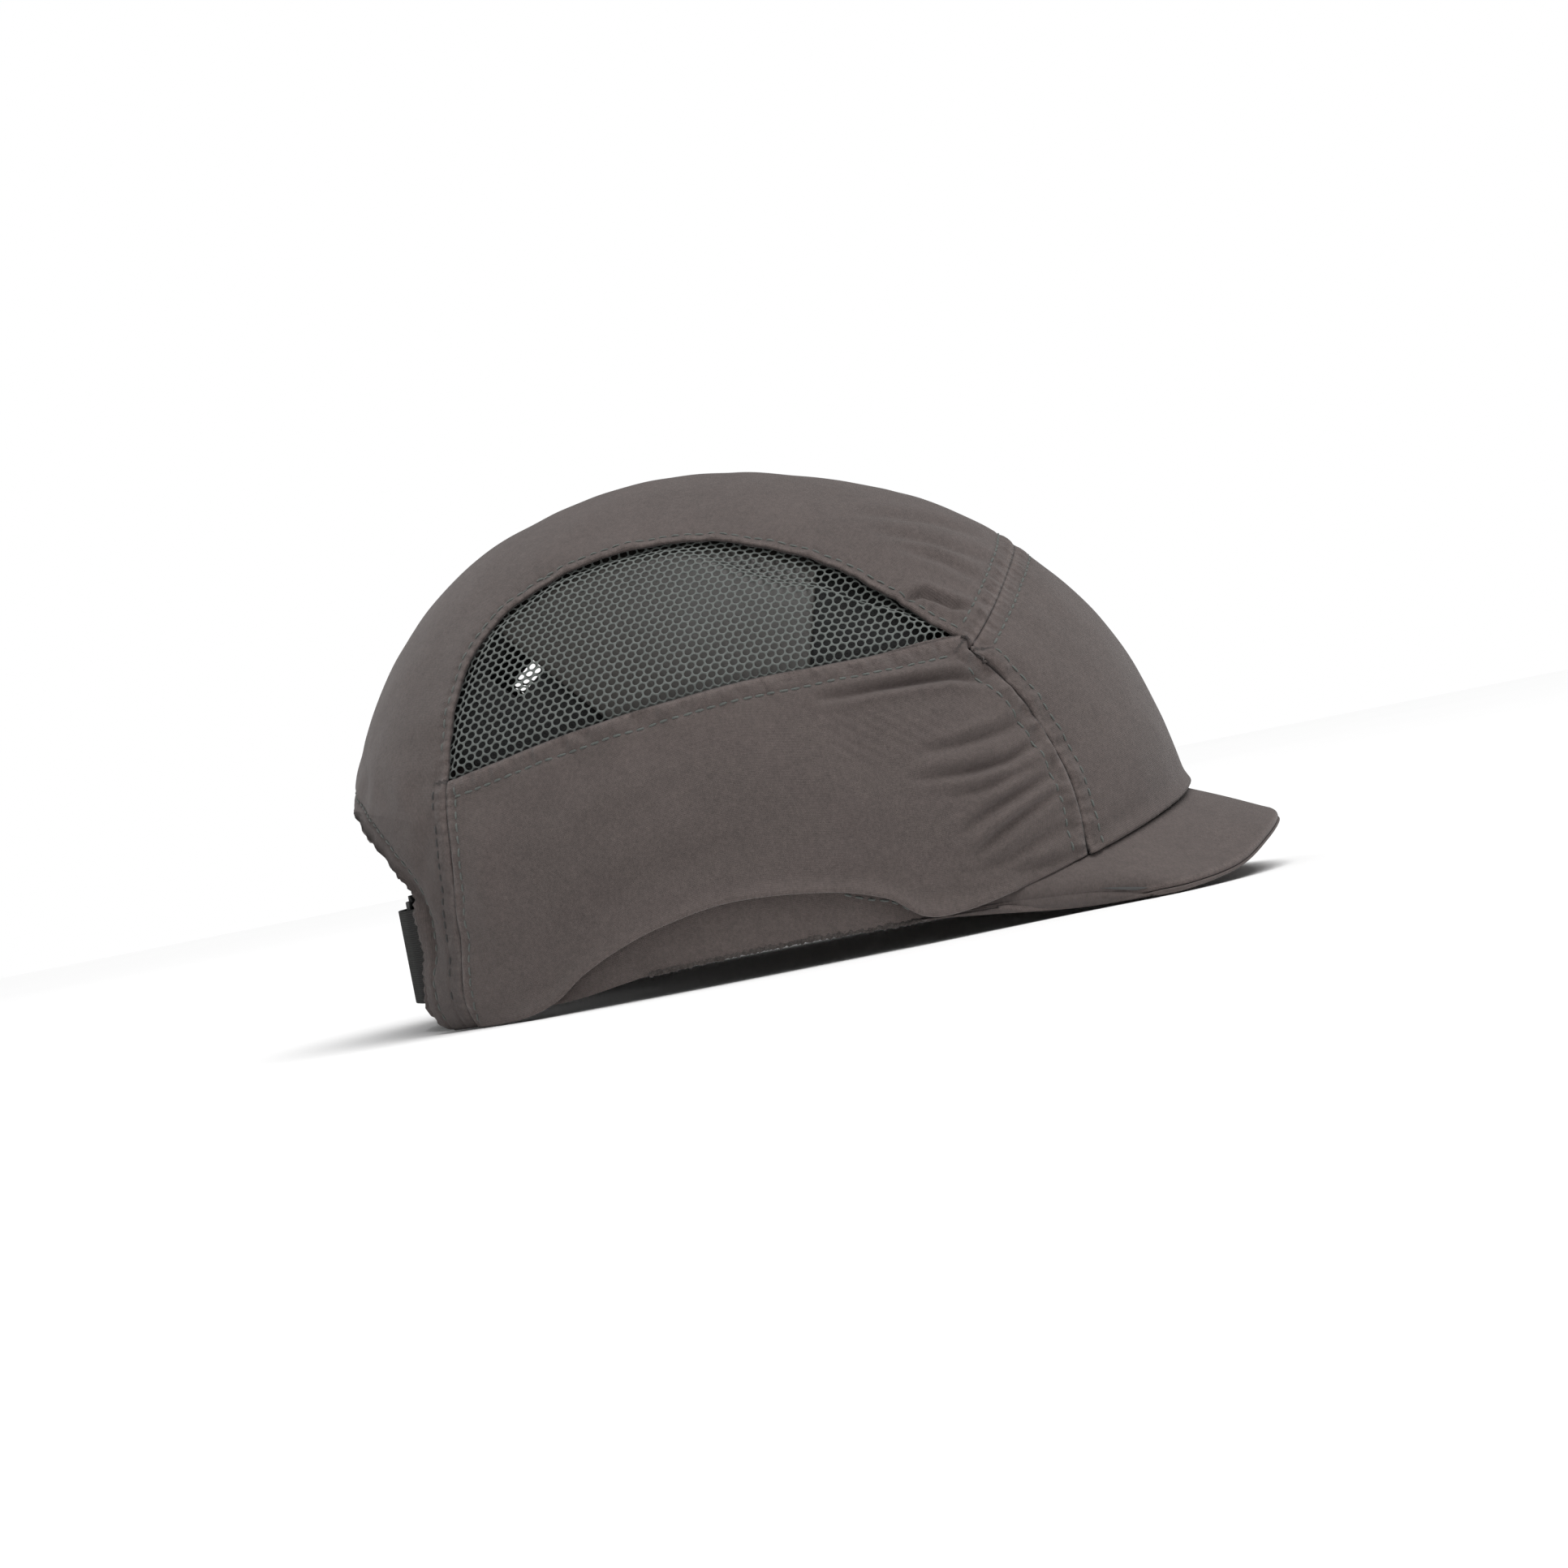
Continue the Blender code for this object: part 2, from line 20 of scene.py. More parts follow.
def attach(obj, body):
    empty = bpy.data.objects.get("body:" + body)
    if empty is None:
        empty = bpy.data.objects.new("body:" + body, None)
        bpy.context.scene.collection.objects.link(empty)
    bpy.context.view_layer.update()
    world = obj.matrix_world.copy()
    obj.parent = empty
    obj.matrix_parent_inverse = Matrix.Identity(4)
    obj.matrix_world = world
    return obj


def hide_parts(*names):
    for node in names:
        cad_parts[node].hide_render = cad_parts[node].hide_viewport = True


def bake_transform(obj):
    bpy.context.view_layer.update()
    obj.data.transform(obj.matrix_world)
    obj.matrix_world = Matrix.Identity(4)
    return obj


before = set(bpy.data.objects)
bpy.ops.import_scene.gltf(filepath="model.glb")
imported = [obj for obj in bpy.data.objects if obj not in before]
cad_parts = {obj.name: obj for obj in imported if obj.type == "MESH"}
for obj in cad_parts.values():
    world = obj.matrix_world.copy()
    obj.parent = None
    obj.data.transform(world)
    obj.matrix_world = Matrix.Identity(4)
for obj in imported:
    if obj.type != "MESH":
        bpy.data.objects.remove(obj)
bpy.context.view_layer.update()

MM = 0.001
SIDES = (("right", -1), ("left", 1))
INSIDE = (0, 0, 0.03)  # a place under the crown, which outer faces look away from
chance = random.Random(7)

# Crown, as in the CAD.
HUB_S = -0.008
HUB_Z = 0.024
OUTLINE = ((0, 0.1077), (25, 0.1056), (55, 0.1042), (80, 0.1055), (105, 0.1124),
           (130, 0.1202), (150, 0.1206), (165, 0.1190), (180, 0.1130))
HALF_WIDTH = 0.088
FRONT_TAPER = 0.04
HEM_LEAN = 0.05
ROUNDNESS = 2.3
RISE_PER_DEGREE = 0.00188

# Sewing lines, as in the CAD. Both hems run a little closer to the peak at the front.
FRONT_SEAM_SHARE = 0.79
CROSS_SEAM_MIDDLE = 45.0
CROSS_SEAM_END = 41.0
MESH_FRONT_STATION = 45.0
MESH_REAR_STATION = 154.5
NAPE_STATION = 192.6
CROWN_EDGE = ((41, 0.785), (55, 0.78), (75, 0.72), (100, 0.652), (130, 0.625),
              (154.5, 0.71), (166, 0.738), (180, 0.70), (193, 0.66))
MESH_SILL = ((-0.057, 0.0698), (-0.017, 0.0737), (0.020, 0.0742))
RIM_BROW_Z = 0.0252
RIM_DROP = 0.0178
RIM_GAP = 0.0009
SIDE_HEM = ((-0.0958, 0.0001), (-0.0824, 0.0009), (-0.0736, 0.0036), (-0.0657, 0.0089),
            (-0.0557, 0.0136), (-0.0440, 0.0173), (-0.0262, 0.0200), (-0.0020, 0.0178),
            (0.0130, 0.0132), (0.0210, 0.0072), (0.0300, 0.0063), (0.0442, 0.0086))
EAR_HEM = ((-0.084, 0.0026), (-0.069, 0.0031), (-0.049, 0.0057), (-0.012, 0.0067),
           (0.019, 0.0060), (0.032, 0.0068), (0.044, 0.0095), (0.062, 0.0130))
EAR_BAND_TOP_Z = 0.0300
ARCH_STATION = 174.0
ARCH_HEIGHT_DEGREES = 12.5
ARCH_SHARE = 0.58
ARCH_FOOT_SHARE = 0.51

# Peak. Its plan is the CAD's. Its edge is thinner here, and its ends run into the crown.
PEAK_HALF_WIDTH = 0.084
PEAK_START_S = 0.036
PEAK_REACH = 0.0857
PEAK_SQUARENESS = 2.4
PEAK_EDGE = ((0, 0.0118), (0.3, 0.0103), (0.5, 0.0074), (0.7, 0.0022), (0.86, 0.0004),
             (0.95, 0.0005), (0.985, 0.0015), (0.9968, 0.0036), (1, 0.0056))
PEAK_SWEEP_DEGREES = 88.5
PEAK_THICKNESS = 0.0027
PEAK_COVER = 0.0006
PEAK_COVER_INSET = 0.0011
PEAK_RIM_DEPTH = 0.0012
PEAK_END_ANGLE = 66
PEAK_TUCK_ANGLE = 56
PEAK_UPRIGHT_ANGLES = (45, 65)
PEAK_END_DEPTH = 0.0004
PEAK_BOARD = 0.0010
PEAK_BOARD_ANGLE = 66

# Layers, as in the CAD. The ear bands and the elastic lie a little deeper here.
GAP = 0.0003
CLOTH = 0.0009
TAPE_DEPTH = 0.0018
TAPE = 0.0006
TAPE_WIDTH = 0.012
BAND_DEPTH = 0.0018
BAND = 0.0014
ELASTIC = 0.0008
ELASTIC_DEGREES = 4.0
ELASTIC_SHARE = 0.085
ELASTIC_END_STATION = NAPE_STATION - 5.0
INNER_DEPTH = BAND_DEPTH + 0.0004
SHELL_DEPTH = 0.0029
SHELL = 0.0020
PAD_DEPTH = 0.0055
PAD = 0.0055
SWEATBAND = 0.0026
SWEATBAND_TOP_STATION = 16.0
SHELL_STATIONS = (10, 156)
SHELL_EDGE_SHARE = 0.96
FRONT_BAY = (45, 75)
FRONT_BAY_SHARE = 0.70
REAR_BAY_STATION = 130
REAR_BAY_SHARE = 0.60
MIDDLE_PADS = (("front_pad", 19, 43, 0.60), ("crown_pad", 50, 118, 0.42), ("rear_pad", 123, 153, 0.42))
SIDE_PAD_STATIONS = (48, 152)
SIDE_PAD_SHARES = (0.47, 0.92)
SLIT_STATIONS = (128, 136.5)
SLIT_SHARES = (0.63, 0.75)

# Strap, as in the CAD.
STRAP_AXIS_S = -0.0205
STRAP_RADIUS = 0.0950
STRAP_LOW_Z = 0.0080
STRAP_WIDTH = 0.0250
STRAP_CLOTH = 0.0010
STRAP_PILE = 0.0007
STRAP_ROUND_END = 0.006
STRAP_HIDDEN_END = 39.5
PATCH_MARGIN = 0.0015
PATCH_ROUND_END = 0.004
TAB_FOLD = 2.5
TAB_FOLD_SPREAD = 2.0
TAB_END = 16.0
INNER_STRAP_END = 14.0
INNER_STRAP_DROP = 0.0035

# Relief of the cloth: soft waves as (height, size, seed), and what seams and edges do to it.
WAVES = ((0.00035, 0.030, 11), (0.00016, 0.011, 14))
SEAM_REACH = 0.006
GROOVE = 0.00045
TURNED_EDGE = 0.00018
STITCH_VALLEY = 0.00025
FINE_PUCKER = 0.00050
WIDE_PUCKER = 0.00060
PUCKER_PITCH = 0.0031
CROSS_ROLL = 0.25
HEM_ROLL = 0.0014
SCALLOP = 0.0003
SCALLOP_PITCH = 0.0023
GATHER_SEED = 40

# The rear corners curl in at the bottom.
CORNER_TUCK = 0.0050
CORNER_HEIGHT = 0.011
CORNER_START_Y = 0.080
CORNER_LENGTH = 0.020
CORNER_ROUNDING = 3.4
CORNER_COLUMNS = 0.45

# Stitches: each row's distance from its seam, how much shorter than the seam it is at each end,
# and one stitch as rings (share along it, size, lift in millimetres).
ROW = {"cross_rear": 0.0050, "cross_front": 0.0046, "front": 0.0048, "net": 0.0027,
       "sill": 0.0048, "rear": 0.0029, "leg": 0.0044, "arch": 0.0052}
BAND_STITCH = ((0.0026, 0.0163), (0.0091, 0.0137), (0.0140, 0.0123), (0.0178, 0.0097), (0.0201, 0.0074))
TRIM = 0.002
LONG_TRIM = 0.006
STITCH_PITCH = 0.0031
STITCH_LENGTH = 0.0023
THREAD_RADIUS = 0.00028
STITCH_RINGS = ((0.0, 0.30, -0.10), (0.18, 0.95, 0.06), (0.5, 1.0, 0.13), (0.82, 0.95, 0.06),
                (1.0, 0.30, -0.10))
STITCH_SIDES = 6

# Net.
NET_PITCH = 0.0024
NET_ROW = 0.0019
NET_THREAD = 0.00062
NET_TUCK = 0.0016
NET_DROP_REAR = 0.0016
NET_DROP_FRONT = 0.0042
HEXAGON = ((0, 2), (-1, 1), (-1, -1), (0, -2), (1, -1), (1, 1))
DOTS_PLACE = (0.0205, 0.0545)
DOTS_REACH = (0.016, 0.0075)
DOTS_PITCH = 0.0034
DOTS_HEIGHT = 0.00022

# Folds and creases in millimetres, on each side: (side-view line, height, half width).
SIDE_FOLDS = (
    (((47.3, 63.1), (40.2, 65.2), (31.2, 65.7), (20.7, 65.8), (6.3, 65.7)), -2.0, 1.1),
    (((58.3, 51.5), (48.9, 49.3), (39.6, 48.1), (28.5, 47.8)), -1.4, 1.3),
    (((60.0, 44.9), (50.3, 41.6), (41.1, 40.9), (25.7, 41.4)), -1.7, 1.2),
    (((56.0, 38.8), (43.1, 36.0), (33.4, 35.3)), -0.9, 1.1),
    (((61.0, 36.2), (51.6, 32.8), (43.4, 30.0), (33.6, 25.2)), -1.5, 1.3),
    (((61.0, 31.0), (52.0, 27.6), (44.4, 23.9), (36.3, 18.9)), -1.4, 1.2),
    (((61.5, 22.0), (53.5, 19.8), (45.3, 17.0), (35.4, 15.4)), -1.0, 1.4),
    (((61.8, 14.0), (53.8, 13.5), (44.2, 13.6)), -0.7, 1.2),
    (((-30.0, 56.0), (-56.0, 50.0), (-78.0, 40.0)), 0.8, 6.0),
    (((-82.0, 52.0), (-87.0, 36.0), (-85.0, 20.0)), 0.9, 4.0),
    (((-20.0, 33.0), (-48.0, 30.0), (-70.0, 21.0)), -0.8, 4.0),
)
CROWN_FOLDS = (
    (((32.7, 86.8), (37.4, 87.5), (44.1, 82.9), (48.3, 81.2)), -2.1, 0.9),
    (((60.0, 98.9), (44.8, 106.9), (26.1, 111.8)), -0.9, 1.2),
    (((56.9, 93.3), (43.1, 100.5), (29.1, 105.9)), -1.0, 1.2),
    (((53.7, 88.1), (44.0, 95.3), (32.4, 101.4)), -0.8, 1.1),
    (((-108.0, 44.4), (-106.8, 40.4), (-105.1, 35.0), (-103.7, 29.0), (-103.5, 17.0)), -1.8, 1.6),
    (((-108.6, 76.7), (-105.1, 65.0), (-101.3, 54.7), (-101.6, 46.5)), 0.8, 3.2),
    (((-92.7, 56.9), (-98.6, 51.0), (-102.5, 42.2), (-104.0, 35.4)), -0.7, 2.2),
    (((-115.1, 76.2), (-114.7, 68.2), (-115.1, 60.4)), -0.6, 1.6),
    (((-100.0, 70.0), (-107.0, 56.0), (-111.0, 45.0)), 0.6, 3.0),
)
NET_CREASE = ((-30.0, 113.5), (-13.6, 105.1), (1.5, 96.1), (10.0, 93.4), (16.7, 89.8),
              (24.9, 85.5), (33.0, 81.4), (41.3, 77.6))

# Camera.
CAMERA_PLACE = (-1.177, 0.0070, 0.0465)
CAMERA_ROLL = 11.15
CAMERA_LENS = 100
CAMERA_SENSOR = 36

# Studio: the floor, the strength of the pale surroundings, and lights as name, place, size and power.
FLOOR_Z = 0.0
FLOOR_REACH = 4
AMBIENT = 0.26
SUN = 2.75
SUN_PLACE = (-0.45, -0.35, 1.5)
SUN_DEGREES = 50
LIGHTS = (("side", (-1.6, -0.5, 1.1), 1.0, 4), ("rear", (0.9, 1.1, 1.2), 1.0, 4))
LIGHTS_AIM = (0, 0, 0.06)


# ---- curves

def smooth(knots, at):
    """A smooth curve through the knots, read at many values."""
    x, y = np.array(knots, float).T
    order = np.arange(len(x))
    before, after = np.maximum(order - 1, 0), np.minimum(order + 1, order[-1])
    slopes = (y[after] - y[before]) / (x[after] - x[before])
    at = np.asarray(at, float)
    i = np.clip(np.searchsorted(x, at) - 1, 0, len(x) - 2)
    width = x[i + 1] - x[i]
    t = np.clip((at - x[i]) / width, 0, 1)
    lead = width * slopes[i] * t * (1 - t) ** 2
    tail = width * slopes[i + 1] * t * t * (1 - t)
    return y[i] + (y[i + 1] - y[i]) * t * t * (3 - 2 * t) + lead - tail


def bell(distance, width):
    """A bell curve over a distance."""
    return np.exp(-(distance / width) ** 2)


def round_off(share):
    """A round corner: 1 at its end, and 0 from where the share reaches 1."""
    return 1 - np.sqrt(1 - np.clip(1 - share, 0, 1) ** 2)


def cluster(count):
    """Values from 0 to 1, closer together near both ends."""
    t = np.linspace(0, 1, count)
    return t - 0.06 * np.sin(2 * np.pi * t)


def spaced(stops, counts):
    """Values from the first stop to the last, evenly spaced between stops."""
    runs = [np.linspace(a, b, n, endpoint=False) for a, b, n in zip(stops, stops[1:], counts)]
    return np.concatenate(runs + [stops[-1:]])


def length(vectors):
    """The length of each vector."""
    return np.linalg.norm(vectors, axis=-1)


def unit(vectors):
    """The vectors at length 1."""
    return vectors / np.maximum(length(vectors), 1e-12)[..., None]


def travelled(points):
    """How far along a line each of its points is."""
    return np.concatenate(([0], np.cumsum(length(np.diff(points, axis=0)))))


def even(points, step=0.00025):
    """The same line with evenly spaced points."""
    gone = travelled(points)
    at = np.linspace(0, gone[-1], max(2, int(gone[-1] / step)))
    return np.stack([np.interp(at, gone, points[:, k]) for k in range(3)], -1)


def wander(along, across, size, seed):
    """Seeded noise, from -1 to 1, over two measures in metres."""
    flat = zip(np.ravel(along), np.ravel(across))
    values = [noise.noise(Vector((a / size, b / size, seed))) for a, b in flat]
    return 2 * np.array(values).reshape(np.shape(along))


def drape(points, size, seed):
    """Seeded noise, from -1 to 1, over points."""
    values = [noise.noise(Vector(p) / size + Vector((0, 0, seed))) for p in points.reshape(-1, 3)]
    return 2 * np.array(values).reshape(points.shape[:-1])


# ---- crown surface

def half_width(s, z):
    """Distance from the middle plane to the ear."""
    return HALF_WIDTH - FRONT_TAPER * s - HEM_LEAN * np.maximum(0.0, HUB_Z - z)


def reach(s, z):
    """How far a side-view point lies from the hub towards the outline."""
    angle = np.degrees(np.arctan2(z - HUB_Z, s - HUB_S))
    above = np.hypot(s - HUB_S, z - HUB_Z) / smooth(OUTLINE, angle)
    below = np.abs(s - HUB_S) / np.where(s > HUB_S, OUTLINE[0][1], OUTLINE[-1][1])
    return np.where(z < HUB_Z, below, above)


def complement(share):
    """The other coordinate of the rounded section."""
    return np.maximum(0.0, 1 - np.abs(share) ** ROUNDNESS) ** (1 / ROUNDNESS)


def side_view(station, share):
    """The side-view point (s, z) of a station and a share across."""
    turn = np.clip(station, 0.0, 180.0)
    radius = complement(share) * smooth(OUTLINE, turn)
    below = np.maximum(np.maximum(-station, station - 180), 0.0)
    s = HUB_S + radius * np.cos(np.radians(turn))
    return s, HUB_Z + radius * np.sin(np.radians(turn)) - below * RISE_PER_DEGREE


def skin(station, share):
    """The skin points of stations and shares across, left side positive."""
    station, share = np.broadcast_arrays(np.asarray(station, float), np.asarray(share, float))
    s, z = side_view(station, share)
    return np.stack((share * half_width(s, z), -s, z), -1)


def skin_over(s, z, side):
    """The skin points over side-view points, on one side of the cap."""
    s, z = np.broadcast_arrays(s, z)
    share = complement(np.minimum(reach(s, z), 1.0))
    return np.stack((side * share * half_width(s, z), -s, z), -1)


def outward(points):
    """Unit normals of the skin."""
    def level(at):
        s, z = -at[..., 1], at[..., 2]
        return reach(s, z) ** ROUNDNESS + (np.abs(at[..., 0]) / half_width(s, z)) ** ROUNDNESS

    nudge = 0.0001
    slopes = [level(points + step) - level(points - step) for step in np.eye(3) * nudge]
    return unit(np.stack(slopes, -1))


def rim_z(x):
    """Height of the seam between the crown and the peak."""
    return RIM_BROW_Z - RIM_DROP * (x / PEAK_HALF_WIDTH) ** 2


def rim_station(share):
    """Station of the same seam."""
    return (rim_z(share * HALF_WIDTH) + RIM_GAP - HUB_Z) / RISE_PER_DEGREE


def cross_seam(share):
    """Station of the seam behind the front panel."""
    return CROSS_SEAM_MIDDLE - (CROSS_SEAM_MIDDLE - CROSS_SEAM_END) * (share / FRONT_SEAM_SHARE) ** 2


def crown_edge(station):
    """The side-view point of the crown panel's side edge at a station."""
    return side_view(station, smooth(CROWN_EDGE, station))


def sill_knots():
    """The line between the net and the side panel, from the rear to the front."""
    return [crown_edge(MESH_REAR_STATION), *MESH_SILL, crown_edge(MESH_FRONT_STATION)]


def arch_line(turns, falls, grow=0.0, end=NAPE_STATION):
    """Stations and shares down one side of the arch, round its top and then down to the foot.
    The line lies further out, within the elastic, as it grows."""
    share, foot = ARCH_SHARE + ELASTIC_SHARE * grow, ARCH_FOOT_SHARE + ELASTIC_SHARE * grow
    degrees = ARCH_HEIGHT_DEGREES + ELASTIC_DEGREES * grow
    curve = [(ARCH_STATION - degrees * math.cos(t), share * math.sin(t)) for t in np.radians(turns)]
    leg = [(ARCH_STATION + (end - ARCH_STATION) * t, share + (foot - share) * t) for t in falls]
    return np.array(curve + leg)


# ---- sewing lines

def sewing_lines():
    """Every line that cloth is sewn along, as points on the skin."""
    share = np.linspace(-FRONT_SEAM_SHARE, FRONT_SEAM_SHARE, 200)
    lines = {"cross": even(skin(cross_seam(share), share)), "rim": even(skin(rim_station(share), share))}
    front = np.linspace(rim_station(FRONT_SEAM_SHARE), CROSS_SEAM_END, 100)
    net = np.linspace(CROSS_SEAM_END, MESH_REAR_STATION, 200)
    rear = np.linspace(MESH_REAR_STATION, NAPE_STATION, 100)
    sill, arch = sill_knots(), arch_line(np.linspace(0, 90, 60), np.linspace(0, 1, 60)[1:])
    sill_s = np.linspace(sill[0][0], sill[-1][0], 200)
    hem_s = np.linspace(SIDE_HEM[0][0], SIDE_HEM[-1][0], 200)
    for word, side in SIDES:
        sewn_along = {"front_": skin(front, side * FRONT_SEAM_SHARE),
                      "net_": skin(net, side * smooth(CROWN_EDGE, net)),
                      "rear_": skin(rear, side * smooth(CROWN_EDGE, rear)),
                      "sill_": skin_over(sill_s, smooth(sill, sill_s), side),
                      "hem_": skin_over(hem_s, smooth(SIDE_HEM, hem_s), side),
                      "arch_": skin(arch[:, 0], side * arch[:, 1])}
        lines.update({name + word: even(points) for name, points in sewn_along.items()})
    return lines


def search_tree(points):
    """A tree that finds the nearest of the points."""
    tree = KDTree(len(points))
    for i, point in enumerate(points):
        tree.insert(point, i)
    tree.balance()
    return tree


LINES = sewing_lines()
TREES = {name: search_tree(line) for name, line in LINES.items()}


def near_line(points, name):
    """Each point's distance to a sewing line, and how far along the line it is."""
    index, distance = np.array([TREES[name].find(point)[1:] for point in points.reshape(-1, 3)]).T
    step = length(LINES[name][1] - LINES[name][0])
    return distance.reshape(points.shape[:-1]), (index * step).reshape(points.shape[:-1])


def beside_seam(points, name, stitch, pucker, roll, seed):
    """Height of cloth beside a seam: rolled in at the seam, full over the turned edge
    under it, drawn in at the row of stitches, and puckered."""
    distance, along = near_line(points, name)
    height = -GROOVE * roll * bell(distance, GROOVE)
    height += TURNED_EDGE * roll * bell(distance - 0.45 * stitch, 0.3 * stitch)
    height -= STITCH_VALLEY * bell(distance - stitch, 0.0006)
    free = pucker * (1 - bell(distance, 0.0008))
    fine = wander(along, distance * 0.3, 0.0036, seed)
    height += FINE_PUCKER * free * fine * bell(distance - 0.5 * stitch, 0.45 * stitch)
    wide = wander(along, distance * 0.35, 0.0085, seed + 5)
    height += WIDE_PUCKER * free * wide * np.exp(-distance / 0.010)
    return height, distance, along


def over_fold(points, line, height, width):
    """Height that one fold or crease adds to a surface. Its measures are in millimetres."""
    at = np.linspace(0, 1, 60)
    gone = np.linspace(0, 1, len(line))
    spots = np.stack([np.interp(at, gone, knots) for knots in np.array(line).T * MM], -1)
    place = np.stack((-points[..., 1], points[..., 2]), -1)
    apart = length(place[..., None, :] - spots)
    distance = apart.min(-1) / MM
    fade = np.sin(np.pi * np.clip(at[apart.argmin(-1)] * 0.94 + 0.03, 0, 1)) ** 0.6
    shape = bell(distance, width)
    if height < 0:
        shape = shape - 0.45 * bell(distance - 2.2 * width, 1.2 * width)
    return height * MM * fade * shape


# ---- mesh making

def grid_faces(points, keep=None):
    """Quads of a grid of points, as vertex numbers."""
    rows, columns = points.shape[:2]
    index = np.arange(rows * columns).reshape(rows, columns)
    quads = np.stack((index[:-1, :-1], index[1:, :-1], index[1:, 1:], index[:-1, 1:]), -1)
    return quads.reshape(-1, 4) if keep is None else quads[keep]


def used_only(points, faces):
    """The points that faces use, and the faces by their new numbers."""
    used = np.zeros(len(points), bool)
    used[faces.ravel()] = True
    return points[used], (np.cumsum(used) - 1)[faces]


def facing_out(points, faces, centre=INSIDE):
    """The faces, wound so that they look away from the centre."""
    a, b, c = (points[faces[:, k]] for k in range(3))
    facing = np.einsum("ij,ij->i", np.cross(b - a, c - a), a - np.asarray(centre))
    return faces[:, ::-1] if facing.sum() < 0 else faces


def arc_lengths(points):
    """A flat place, in metres, for each point of a grid."""
    across, along = length(np.diff(points, axis=1)), length(np.diff(points, axis=0))
    u = np.concatenate((np.zeros((len(points), 1)), np.cumsum(across, 1)), 1)
    v = np.concatenate((np.zeros((1, points.shape[1])), np.cumsum(along, 0)), 0)
    return np.stack((u - u[:, -1:] / 2, v), -1)


def link(name, data):
    """A new object in the scene."""
    item = bpy.data.objects.new(name, data)
    bpy.context.scene.collection.objects.link(item)
    return item


def make_object(name, points, faces=None, flat=None, centre=None, **marks):
    """A smooth-shaded object. Faces look away from the centre; marks are values at its points."""
    faces = grid_faces(points) if faces is None else faces
    points = np.reshape(points, (-1, 3))
    if centre is not None:
        faces = facing_out(points, np.asarray(faces), centre)
    mesh = bpy.data.meshes.new(name)
    mesh.from_pydata(points.tolist(), [], faces.tolist() if isinstance(faces, np.ndarray) else faces)
    if flat is not None:
        layer = mesh.uv_layers.new(name="flat")
        corner = np.empty(len(mesh.loops), np.int32)
        mesh.loops.foreach_get("vertex_index", corner)
        layer.data.foreach_set("uv", (flat.reshape(-1, 2)[corner] / MM).ravel())
    for mark, values in marks.items():
        mesh.attributes.new(mark, "FLOAT", "POINT").data.foreach_set("value", np.ravel(values))
    mesh.shade_smooth()
    return link(name + "_look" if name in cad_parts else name, mesh)


def weld(item, distance=0.00002):
    """Joins vertices that share a place."""
    item.modifiers.new("weld", "WELD").merge_threshold = distance


def soften(item):
    """Rounds a piece by one level of subdivision."""
    rounding = item.modifiers.new("rounding", "SUBSURF")
    rounding.levels = rounding.render_levels = 1


def thicken(item, thickness, bevel=0.0):
    """Gives an open sheet its thickness, inwards, and rounded rims."""
    solid = item.modifiers.new("thickness", "SOLIDIFY")
    solid.thickness = thickness
    solid.offset = -1
    if bevel:
        rim = item.modifiers.new("rim", "BEVEL")
        rim.width = bevel
        rim.segments = 2
        rim.limit_method = "ANGLE"
        rim.angle_limit = math.radians(50)


def place(item, slot, replaced=(), body="cap", finish=None):
    """Gives a piece the finish of its slot, or the named finish, puts it under its body, and hides what it
    stands for.
    """
    item.data.materials.clear()
    item.data.materials.append(finishes[finish or slot])
    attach(item, body)
    if replaced:
        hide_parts(*replaced)


# ---- materials

